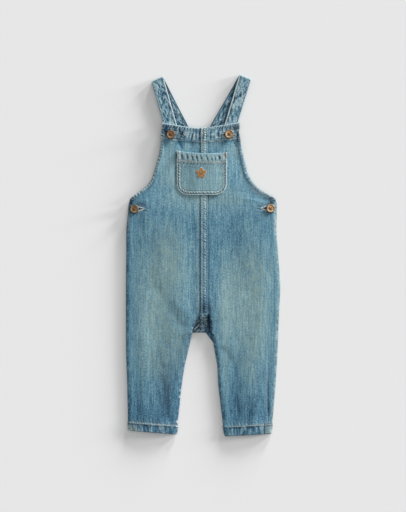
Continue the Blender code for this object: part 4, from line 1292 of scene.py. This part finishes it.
straps = {}
for strap in STRAPS:
    title = "washed indigo denim, " + strap.name.replace("_", " ")
    strap_denim = make_denim(title, math.radians(strap.tilt * WARP_TO_TILT))
    straps[strap.name] = make_strap(strap, strap_denim)
    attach(straps[strap.name], "root")
    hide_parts(strap.name)

# ------------------------------------------------------------
# Buttons: four-hole buttons turned from horn-effect polyester, with a raised rim and a dished middle. Each
# is sewn on with a crossed thread whose shank goes down through the buttonhole.
# ------------------------------------------------------------
BUTTON_HEIGHT = 2.5
BUTTON_RIM = 1.5            # width of the raised rim
BUTTON_DISH = 0.7           # depth of the dished middle
BUTTON_HOLE = 0.75          # radius of a hole
BUTTON_PITCH = 1.25         # from the middle lines to the middle of a hole
BUTTON_STEPS = 64
# painted shade on the buttons' rims
RIM_SHADE_COLOUR = "#35322D"


def make_horn(name, light, middle, dark):
    """Horn-effect polyester, turned and tumbled: a satin surface with the drifting brown bands of cow horn,
    which follow no edge, fine scratches, and a rim painted darker as shade, to tone down the light on it."""
    material, tree, shader = new_material(name)
    place = add_node(tree, "ShaderNodeTexCoord").outputs["Object"]
    bands = add_node(tree, "ShaderNodeMapping", inputs={
        "Vector": place, "Rotation": (0, 0, math.radians(25)), "Scale": (1.0, 2.4, 1.0)}).outputs[0]
    drift = add_node(tree, "ShaderNodeTexNoise", inputs={
        "Vector": bands, "Scale": 1 / (5.0 * MM), "Detail": 4.0, "Roughness": 0.6, "Distortion": 0.8})
    ramp = add_node(tree, "ShaderNodeValToRGB", inputs={"Fac": drift.outputs["Fac"]})
    ramp.color_ramp.elements.new(0.5)
    stops = ((0.34, dark), (0.50, middle), (0.66, light))
    for element, (at, hex_code) in zip(ramp.color_ramp.elements, stops):
        element.position = at
        element.color = colour(hex_code)
    rim = add_node(tree, "ShaderNodeAttribute", {"attribute_name": "rim"}).outputs["Fac"]
    rim_shade = add_node(tree, "ShaderNodeMath", MULTIPLY, {0: rim, 1: 0.52}).outputs[0]
    toned = add_node(tree, "ShaderNodeMix", MIX_COLOURS, {
        0: rim_shade, 6: ramp.outputs["Color"], 7: colour(RIM_SHADE_COLOUR)}).outputs[2]
    tree.links.new(toned, shader.inputs["Base Color"])
    scratch = add_node(tree, "ShaderNodeTexNoise", inputs={
        "Vector": place, "Scale": 1 / (0.7 * MM), "Detail": 3.0})
    fine = add_node(tree, "ShaderNodeBump", inputs={
        "Height": scratch.outputs["Fac"], "Strength": 0.15, "Distance": 0.05 * MM})
    tree.links.new(fine.outputs["Normal"], shader.inputs["Normal"])
    rough = add_node(tree, "ShaderNodeMapRange", inputs={
        "Value": scratch.outputs["Fac"], "To Min": 0.30, "To Max": 0.52}).outputs[0]
    tree.links.new(rough, shader.inputs["Roughness"])
    shader.inputs["IOR"].default_value = 1.56
    return material


def button_profile():
    """Half section from the middle of the top, over the rim and round to the middle underneath."""
    top, edge = BUTTON_HEIGHT, BUTTON_RADIUS
    rim, dish = edge - BUTTON_RIM, top - BUTTON_DISH
    inside = [(0.0, dish), (rim * 0.35, dish + 0.02), (rim * 0.68, dish + 0.02), (rim * 0.84, dish + 0.12),
              (rim * 0.96, top - 0.28), (rim + 0.18, top - 0.06), (rim + 0.5, top), (rim + 0.9, top - 0.07)]
    turns = [math.radians(angle) for angle in range(15, 100, 15)]
    outside = [(edge - 0.55 + 0.55 * math.sin(turn), top - 0.95 + 0.80 * math.cos(turn)) for turn in turns]
    below = [(edge - 0.05, top - 1.25), (edge - 0.2, 0.55), (edge - 0.5, 0.2), (edge - 1.0, 0.02),
             (edge - 1.6, 0.0), (0.0, 0.0)]
    return inside + outside + below


def button_place(button):
    """Where a button sits, square to the cloth under it."""
    x = np.array([button.x - BUTTON_RADIUS, button.x, button.x + BUTTON_RADIUS])
    low, seat, high = front_underside(x, np.full(3, button.y))
    wall = TURNED if button.y > ARMHOLE_Y else CLOTH
    up = Vector(((low - high) / (2 * BUTTON_RADIUS), 0.0, 1.0)).normalized()
    seat = Vector((button.x, button.y, seat + wall + GAP + 0.1)) * MM
    return Matrix.Translation(seat) @ Vector((0, 0, 1)).rotation_difference(up).to_matrix().to_4x4()


def evaluated_mesh(piece, name):
    """The piece's mesh with its modifiers taken up."""
    mesh = bpy.data.meshes.new_from_object(piece.evaluated_get(bpy.context.evaluated_depsgraph_get()))
    mesh.name = name
    return mesh


def make_button(button, material):
    """Turned from its half section, then drilled through four times."""
    points = [(radius * MM, 0.0, height * MM) for radius, height in button_profile()]
    outline = bpy.data.meshes.new(button.name + "_outline")
    outline.from_pydata(points, [(i, i + 1) for i in range(len(points) - 1)], [])
    blank = new_object(button.name + "_blank", outline)
    lathe = blank.modifiers.new("Lathe", "SCREW")
    lathe.steps = lathe.render_steps = BUTTON_STEPS
    lathe.use_merge_vertices = True
    lathe.merge_threshold = 0.00001
    lathe.use_normal_calculate = True
    drills = bmesh.new()
    for sign_x in (-1, 1):
        for sign_y in (-1, 1):
            at = Matrix.Translation(Vector((sign_x * BUTTON_PITCH, sign_y * BUTTON_PITCH, 1.0)) * MM)
            bmesh.ops.create_cone(drills, cap_ends=True, segments=20, radius1=BUTTON_HOLE * MM,
                                  radius2=BUTTON_HOLE * MM, depth=8 * MM, matrix=at)
    drill_mesh = bpy.data.meshes.new("drills")
    drills.to_mesh(drill_mesh)
    drills.free()
    drill = new_object("drills", drill_mesh)
    bore = blank.modifiers.new("Bore", "BOOLEAN")
    bore.operation = "DIFFERENCE"
    bore.solver = "EXACT"
    bore.object = drill
    mesh = evaluated_mesh(blank, button.name + "_turned")
    bpy.data.objects.remove(blank)
    bpy.data.objects.remove(drill)
    radii = np.array([math.hypot(vertex.co.x, vertex.co.y) for vertex in mesh.vertices]) / MM
    # share of the painted shade on the rim
    rim = smoothstep((radii - BUTTON_RADIUS + BUTTON_RIM + 0.2) / 0.6).astype(np.float32)
    mesh.attributes.new("rim", "FLOAT", "POINT").data.foreach_set("value", rim)
    mesh.transform(button_place(button))
    mesh.shade_smooth()
    mesh.set_sharp_from_angle(angle=math.radians(40))
    mesh.materials.clear()
    mesh.materials.append(material)
    return new_object(button.name + "_turned", mesh)


horns = {
    "button_bib_left": make_horn("horn-effect polyester, dark", "#AE8860", "#87623E", "#5C3A17"),
    "button_side_left": make_horn("horn-effect polyester, tan", "#AC8E66", "#877047", "#604520"),
    "light": make_horn("horn-effect polyester, light", "#D6B88F", "#B49067", "#825A30"),
}
buttons = {}
for button in BUTTONS:
    buttons[button.name] = make_button(button, horns.get(button.name, horns["light"]))
    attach(buttons[button.name], "root")
    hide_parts(button.name)

# ------------------------------------------------------------
# Stitching: spun polyester thread, sewn by machine in rows along every hem, fell and edge, and closely side
# by side as bars at the pocket's corners and round the buttonholes. Each stitch is a short rounded piece.
# ------------------------------------------------------------
STITCH_PERIOD = 3.1
STITCH_LENGTH = 2.3
THREAD_RADIUS = 0.30        # a doubled sewing thread, drawn a third thicker than real so that rows show
ACROSS = math.radians(90)   # the turn of stitches that lie across their line
STITCH_LIFT = 0.12          # of a stitch's middle over the cloth
LOW_LIFT = 0.10             # of one that has sunk further in
FELL_SEWN_END_Y = -104.0
STRAP_SEWN = (3.0, 88.0)    # the part of a strap's runs that has stitches, as distances from the turn


def make_thread(name, hex_code, darker):
    """Spun polyester sewing thread, and the embroidery's rayon, which the wash has made as dull: matt,
    slightly fuzzy, unevenly dirtied by the indigo."""
    material, tree, shader = new_material(name)
    place = add_node(tree, "ShaderNodeTexCoord").outputs["Object"]
    stain = add_node(tree, "ShaderNodeTexNoise", inputs={
        "Vector": place, "Scale": 1 / (3.0 * MM), "Detail": 2.0})
    share = add_node(tree, "ShaderNodeMapRange", inputs={
        "Value": stain.outputs["Fac"], "From Min": 0.35, "From Max": 0.65}).outputs[0]
    tinted = add_node(tree, "ShaderNodeMix", MIX_COLOURS, {
        0: share, 6: colour(hex_code), 7: colour(darker)})
    tree.links.new(tinted.outputs[2], shader.inputs["Base Color"])
    strands = add_node(tree, "ShaderNodeTexNoise", inputs={
        "Vector": place, "Scale": 1 / (0.35 * MM), "Detail": 1.0})
    twist = add_node(tree, "ShaderNodeBump", inputs={
        "Height": strands.outputs["Fac"], "Strength": 0.4, "Distance": 0.08 * MM})
    tree.links.new(twist.outputs["Normal"], shader.inputs["Normal"])
    shader.inputs["Roughness"].default_value = 0.7
    shader.inputs["Sheen Weight"].default_value = 0.1
    return material


def make_sewing_tree():
    """Geometry Nodes: stitches at even steps along a mesh's lines, turned from them by a given angle."""
    tree = bpy.data.node_groups.new("sewn row", "GeometryNodeTree")
    tree.interface.new_socket("Lines", in_out="INPUT", socket_type="NodeSocketGeometry")
    for name in ("Period", "Length", "Radius", "Turn"):
        tree.interface.new_socket(name, in_out="INPUT", socket_type="NodeSocketFloat")
    tree.interface.new_socket("Thread", in_out="INPUT", socket_type="NodeSocketMaterial")
    tree.interface.new_socket("Stitches", in_out="OUTPUT", socket_type="NodeSocketGeometry")
    given = add_node(tree, "NodeGroupInput").outputs
    curve = add_node(tree, "GeometryNodeMeshToCurve", inputs={"Mesh": given["Lines"]})
    steps = add_node(tree, "GeometryNodeResampleCurve", {"mode": "LENGTH"}, {
        "Curve": curve.outputs["Curve"], "Length": given["Period"]})
    tangent = add_node(tree, "GeometryNodeInputTangent").outputs["Tangent"]
    along = add_node(tree, "FunctionNodeAlignRotationToVector", {"axis": "X"}, {"Vector": tangent})
    jitter = add_node(tree, "FunctionNodeRandomValue", {"data_type": "FLOAT"}, {
        2: -0.09, 3: 0.09, "Seed": 5}).outputs[1]
    angle = add_node(tree, "ShaderNodeMath", {"operation": "ADD"}, {0: given["Turn"], 1: jitter}).outputs[0]
    swing = add_node(tree, "ShaderNodeCombineXYZ", inputs={"Z": angle})
    turned = add_node(tree, "FunctionNodeRotateRotation", {"rotation_space": "LOCAL"}, {
        "Rotation": along.outputs[0], "Rotate By": swing.outputs[0]})
    half = add_node(tree, "ShaderNodeMath", MULTIPLY, {0: given["Length"], 1: 0.5}).outputs[0]
    vary = add_node(tree, "FunctionNodeRandomValue", {"data_type": "FLOAT"}, {
        2: 0.86, 3: 1.1, "Seed": 8}).outputs[1]
    long = add_node(tree, "ShaderNodeMath", MULTIPLY, {0: half, 1: vary}).outputs[0]
    size = add_node(tree, "ShaderNodeCombineXYZ", inputs={
        "X": long, "Y": given["Radius"], "Z": given["Radius"]})
    bead = add_node(tree, "GeometryNodeMeshUVSphere", inputs={"Segments": 6, "Rings": 6, "Radius": 1.0})
    upright = add_node(tree, "GeometryNodeTransform", inputs={
        "Geometry": bead.outputs["Mesh"], "Rotation": (0, math.radians(90), 0)})
    placed = add_node(tree, "GeometryNodeInstanceOnPoints", inputs={
        "Points": steps.outputs["Curve"], "Instance": upright.outputs["Geometry"],
        "Rotation": turned.outputs[0], "Scale": size.outputs[0]})
    real = add_node(tree, "GeometryNodeRealizeInstances", inputs={"Geometry": placed.outputs["Instances"]})
    smooth = add_node(tree, "GeometryNodeSetShadeSmooth", inputs={"Geometry": real.outputs["Geometry"]})
    painted = add_node(tree, "GeometryNodeSetMaterial", inputs={
        "Geometry": smooth.outputs["Geometry"], "Material": given["Thread"]})
    add_node(tree, "NodeGroupOutput", inputs={"Stitches": painted.outputs["Geometry"]})
    return tree


def surface_trees(*pieces):
    """A search tree for each piece, which a ray can be sent at."""
    graph = bpy.context.evaluated_depsgraph_get()
    return [BVHTree.FromObject(piece, graph) for piece in pieces]


def laid_on(line, trees, lift):
    """A line of (x, y) in mm, laid on the cloth seen from above; it breaks where there is no cloth."""
    runs = [[]]
    for x, y in line:
        hits = [tree.ray_cast(Vector((x, y, 100)) * MM, Vector((0, 0, -1)))[0] for tree in trees]
        heights = [hit.z for hit in hits if hit is not None]
        if heights:
            runs[-1].append((x * MM, y * MM, max(heights) + lift * MM))
        elif runs[-1]:
            runs.append([])
    return [run for run in runs if len(run) > 1]


def sew(name, lines, thread, period=STITCH_PERIOD, length=STITCH_LENGTH, radius=THREAD_RADIUS, turn=0.0):
    """Stitches along lines of 3-D points, as one plain mesh."""
    points, edges = [], []
    for line in lines:
        edges += [(len(points) + i, len(points) + i + 1) for i in range(len(line) - 1)]
        points += line
    path = bpy.data.meshes.new(name + "_path")
    path.from_pydata(points, edges, [])
    guide = new_object(name + "_guide", path)
    sewing = guide.modifiers.new("Sewing", "NODES")
    sewing.node_group = sewing_tree
    given = {"Period": period * MM, "Length": length * MM, "Radius": radius * MM, "Turn": turn,
             "Thread": thread}
    for item in sewing_tree.interface.items_tree:
        if item.in_out == "INPUT" and item.name in given:
            sewing[item.identifier] = given[item.name]
    mesh = evaluated_mesh(guide, name)
    bpy.data.objects.remove(guide)
    piece = new_object(name, mesh)
    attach(piece, "root")
    return piece


def front_line(half, xs, levels):
    """A line on a front panel; one x or one level can stand for all of its points."""
    return [(float(x), float(row_y(half, x, level))) for x, level in zip(*np.broadcast_arrays(xs, levels))]


def pocket_line(xs, above):
    """A line on the pocket; one x or one height can stand for all of its points."""
    return [(float(x), float(pocket_y(x, high))) for x, high in zip(*np.broadcast_arrays(xs, above))]


sewing_tree = make_sewing_tree()
pale_thread = make_thread("spun polyester thread, pale", "#B4BFBA", "#82979C")
white_thread = make_thread("spun polyester thread, off-white", "#D5DDDD", "#A9B9C0")
blue_thread = make_thread("spun polyester thread, washed blue", "#7E9BA6", "#64818E")
tan_thread = make_thread("spun polyester thread, tan", "#B08A5C", "#86684A")
dark_thread = make_thread("spun polyester thread, dark brown", "#7A420E", "#4E2A08")
edge_rows, rows = [], []
for half in ("left", "right"):
    cloth, inward = surface_trees(fronts[half]), INWARD[half]
    bib_row = BIB_TOP - BIB_HEM + 1.6
    hem_start = side_edge(half, np.array(BIB_TOP - BIB_HEM + 1)) + inward * 2
    hem_xs = np.arange(hem_start, CENTRE_X - inward, inward * 1.0)
    edge_rows += laid_on(front_line(half, hem_xs, bib_row), cloth, LOW_LIFT)
    arm = np.arange(BIB_TOP - 2, ARMHOLE_Y + 1, -1.0)
    arm_xs = side_edge(half, arm) + inward * ARM_ROW * edge_slant(half, arm)
    edge_rows += laid_on(front_line(half, arm_xs, arm), cloth, LOW_LIFT)
    foot = np.array(HEM_LEVEL[half] + LEG_HEM[half] - LEG_ROW)
    leg_start = side_edge(half, foot) + inward * 2.5
    leg_end = PLAIN_HEM_END_X if half == "right" else inseam_edge(half, foot) - inward * 2.0
    rows += laid_on(front_line(half, np.linspace(leg_start, leg_end, 70), foot), cloth, STITCH_LIFT)
sew("stitches_edges", edge_rows, blue_thread)
fell, below_fell = surface_trees(fronts["right"]), surface_trees(backs["right"])
stretches = ((BIB_TOP - 2, POCKET_TOP - 1, fell), (POCKET_BOTTOM - 2, SEAM_END_Y + 1, fell),
             (SEAM_END_Y - 1, FELL_SEWN_END_Y, below_fell))
for x in FELL_ROWS:
    for top, bottom, cloth in stretches:
        rows += laid_on(front_line("right", x, np.arange(top, bottom, -1.0)), cloth, STITCH_LIFT)
sew("stitches_front", rows, pale_thread)

cloth = surface_trees(pocket)
rows = []
for inset in POCKET_ROWS:
    sides = np.arange(POCKET_TALL - 1.5, POCKET_RADIUS, -1.0)
    corner = POCKET_RADIUS - (POCKET_RADIUS - inset) * np.sin(np.radians(np.arange(0, 91, 5)))
    above = np.concatenate([sides, corner])
    reach = pocket_reach(above, inset)
    xs = POCKET_MIDDLE + np.concatenate([-reach, reach[::-1]])
    rows += laid_on(pocket_line(xs, np.concatenate([above, above[::-1]])), cloth, STITCH_LIFT)
hem_xs = np.linspace(POCKET_LEFT + 7, POCKET_RIGHT - 7, 60)
rows += laid_on(pocket_line(hem_xs, POCKET_TALL - POCKET_HEM + POCKET_HEM_ROW), cloth, STITCH_LIFT)
sew("stitches_pocket", rows, pale_thread)
for name, x, thread in (("left", POCKET_LEFT + 1.7, pale_thread), ("right", POCKET_RIGHT - 1.7, tan_thread)):
    bar = laid_on(pocket_line(x, POCKET_TALL - np.arange(0.8, 8.0, 0.5)), cloth, LOW_LIFT)
    sew("bar_pocket_" + name, bar, thread, period=0.55, length=2.4, turn=ACROSS)

# each buttonhole is whipped along both sides, and closed by a bar at its inner end
rows, bib_rows = [], []
for button in BUTTONS:
    cloth, inward = surface_trees(fronts[button.half]), INWARD[button.half]
    dragged = button.y < ARMHOLE_Y
    whipped = rows if dragged else bib_rows
    level = row_level(button.x, button.y)
    insides = np.arange(3.0, SLIT_INSIDE, 0.5)
    for side in (-1, 1):
        off = side * (hole_edge(insides) if dragged else 1.25)
        whipped += laid_on(front_line(button.half, button.x + inward * insides, level + off), cloth, 0.05)
    bar = level + np.arange(-1.4, 1.5, 0.4)
    whipped += laid_on(front_line(button.half, button.x + inward * (SLIT_INSIDE + 1), bar), cloth, LOW_LIFT)
sew("buttonholes_side", rows, white_thread, period=0.62, length=1.5, radius=0.24, turn=ACROSS)
sew("buttonholes_bib", bib_rows, blue_thread, period=0.62, length=1.3, radius=0.24, turn=ACROSS)

# the button threads: a cross over the four holes, and a shank down through the buttonhole
crosses, shanks = [], []
for button in BUTTONS:
    place = button_place(button)
    for number, angle in enumerate((45, 135)):
        way = Vector((math.cos(math.radians(angle)), math.sin(math.radians(angle)), 0.0)) * 0.5
        over = Vector((0.0, 0.0, BUTTON_HEIGHT - BUTTON_DISH + 0.22 + 0.25 * number))
        crosses.append([tuple(place @ ((over + way * sign) * MM)) for sign in (-1, 1)])
    foot, head = (button.under + 1.2) * MM, place.translation.z - 0.4 * MM
    shanks.append([(button.x * MM, button.y * MM, height) for height in (foot, max(head, foot + MM))])
sew("button_crosses", crosses, dark_thread, period=0.8, length=5.7, radius=0.54)
sew("button_shanks", shanks, dark_thread, period=0.8, length=2.0, radius=0.45)

# a small embroidered flower on the pocket: five petals in rounds of chain stitch, with a pale edge
FLOWER_X, FLOWER_Y = -2.6, 121.0
PETAL_REACH, PETAL_LONG, PETAL_WIDE = 4.4, 2.7, 2.2
FULL_TURN = 361             # one more than 360, so that a round's last point is its first
orange_thread = make_thread("rayon embroidery thread, amber", "#C08A4E", "#96622F")
edge_thread = make_thread("rayon embroidery thread, cream", "#C9BFA4", "#A9A08A")


def petal_round(angle, share):
    """One round of stitches in a petal, at a share of its size."""
    points = []
    for step in np.radians(np.arange(0, FULL_TURN, 20)):
        out = PETAL_REACH + PETAL_LONG * share * math.cos(step)
        off = PETAL_WIDE * share * math.sin(step)
        points.append((FLOWER_X + out * math.cos(angle) - off * math.sin(angle),
                       FLOWER_Y + out * math.sin(angle) + off * math.cos(angle)))
    return points


cloth = surface_trees(pocket)
angles = [math.radians(90 + 72 * petal) for petal in range(5)]
edging = [line for angle in angles for line in laid_on(petal_round(angle, 1.22), cloth, STITCH_LIFT)]
petals = [line for angle in angles for share in (0.95, 0.62, 0.28)
          for line in laid_on(petal_round(angle, share), cloth, 0.30)]
heart = [(FLOWER_X + radius * math.cos(step), FLOWER_Y + radius * math.sin(step))
         for radius in (1.3, 0.6) for step in np.radians(np.arange(0, FULL_TURN, 30))]
sew("flower_edge", edging, edge_thread, period=1.2, length=1.6)
sew("flower_petals", petals, orange_thread, period=1.1, length=1.6, radius=0.40)
sew("flower_heart", laid_on(heart, cloth, 0.55), tan_thread, period=0.9, length=1.3, radius=0.38)

# a row along each edge of both runs of a strap; those of the back run lie at the height of its upper side
for strap in STRAPS:
    cloth = surface_trees(straps[strap.name])
    sewn = [line for line in strap_lines(strap) if STRAP_SEWN[0] < line.along < STRAP_SEWN[1]]
    rows = []
    for run in (1, -1):
        for side in (-1, 1):
            share = side * (1 - 2 * STRAP_ROW / STRAP_WIDTH)
            row = [(line.centre[0] + line.across.x * share, line.centre[1] + line.across.y * share)
                   for line in sewn if line.run == run]
            if run == 1:
                rows += laid_on(row, cloth, STITCH_LIFT)
            else:
                rows.append([(x * MM, y * MM, STRAP_CLOTH * MM) for x, y in row])
    sew("stitches_" + strap.name, rows, pale_thread)

# ------------------------------------------------------------
# Floor, lamps and camera: a sheet of matt paper under soft light that comes from the upper right, and a
# camera straight above the garment.
# ------------------------------------------------------------
FLOOR_HALF = 8000.0
FLOOR_DROP = 0.05           # the paper lies this much under the cloth
floor_mesh = bpy.data.meshes.new("floor")
signs = ((-1, -1), (1, -1), (1, 1), (-1, 1))
corners = [(x * FLOOR_HALF * MM, y * FLOOR_HALF * MM, -FLOOR_DROP * MM) for x, y in signs]
floor_mesh.from_pydata(corners, [], [(0, 1, 2, 3)])
floor = new_object("floor", floor_mesh)
# matt paper: nearly white, with no shine that would mirror the garment
paper, _, paper_shader = new_material("matt paper")
paper_shader.inputs["Base Color"].default_value = colour("#ECECEC")
paper_shader.inputs["Roughness"].default_value = 0.95
paper_shader.inputs["Specular IOR Level"].default_value = 0.1
floor_mesh.materials.append(paper)

# Sun lamps: strength in W/m2; size, height over the floor and heading, from +X towards +Y, in degrees. The
# key lamp lights all but the floor. The low lamps light only the floor, where their long soft shadows give
# the wide shade round the garment that so thin a thing doesn't cast under a higher lamp.
Lamp = namedtuple("Lamp", "name strength size height heading link")
LAMPS = [
    Lamp("key lamp", 8.2, 18.0, 11.0, 45.0, "EXCLUDE"),
    Lamp("low lamp for the floor, right", 4.5, 9.0, 6.0, 14.0, "INCLUDE"),
    Lamp("low lamp for the floor, middle", 4.5, 9.0, 6.0, 42.0, "INCLUDE"),
    Lamp("low lamp for the floor, top", 4.5, 9.0, 6.0, 70.0, "INCLUDE"),
]
for lamp in LAMPS:
    light = bpy.data.lights.new(lamp.name, "SUN")
    light.energy = lamp.strength
    light.angle = math.radians(lamp.size)
    source = new_object(lamp.name, light)
    height, heading = math.radians(lamp.height), math.radians(lamp.heading)
    level_part = math.cos(height)
    towards = Vector((level_part * math.cos(heading), level_part * math.sin(heading), math.sin(height)))
    source.rotation_euler = towards.to_track_quat("Z", "Y").to_euler()
    linked = bpy.data.collections.new("floor and " + lamp.name)
    linked.objects.link(floor)
    linked.collection_objects[0].light_linking.link_state = lamp.link
    source.light_linking.receiver_collection = linked
world = bpy.data.worlds.new("studio")
world.use_nodes = True
world.node_tree.nodes["Background"].inputs["Color"].default_value = (1.0, 1.0, 1.0, 1.0)
world.node_tree.nodes["Background"].inputs["Strength"].default_value = 0.50
bpy.context.scene.world = world
bpy.context.scene.view_settings.view_transform = "Standard"

IMAGE_HEIGHT = 512
PIXEL = 1.46                # mm of the garment to a pixel
LENS = 100.0
SENSOR = 36.0
SEEN_LEVEL = 5.0            # height over the floor at which a pixel has that size
camera_data = bpy.data.cameras.new("camera")
camera_data.lens = LENS
camera_data.sensor_width = SENSOR
camera = new_object("camera", camera_data)
camera.location = (-0.07 * MM, -0.05 * MM, (IMAGE_HEIGHT * PIXEL * LENS / SENSOR + SEEN_LEVEL) * MM)
bpy.context.scene.camera = camera
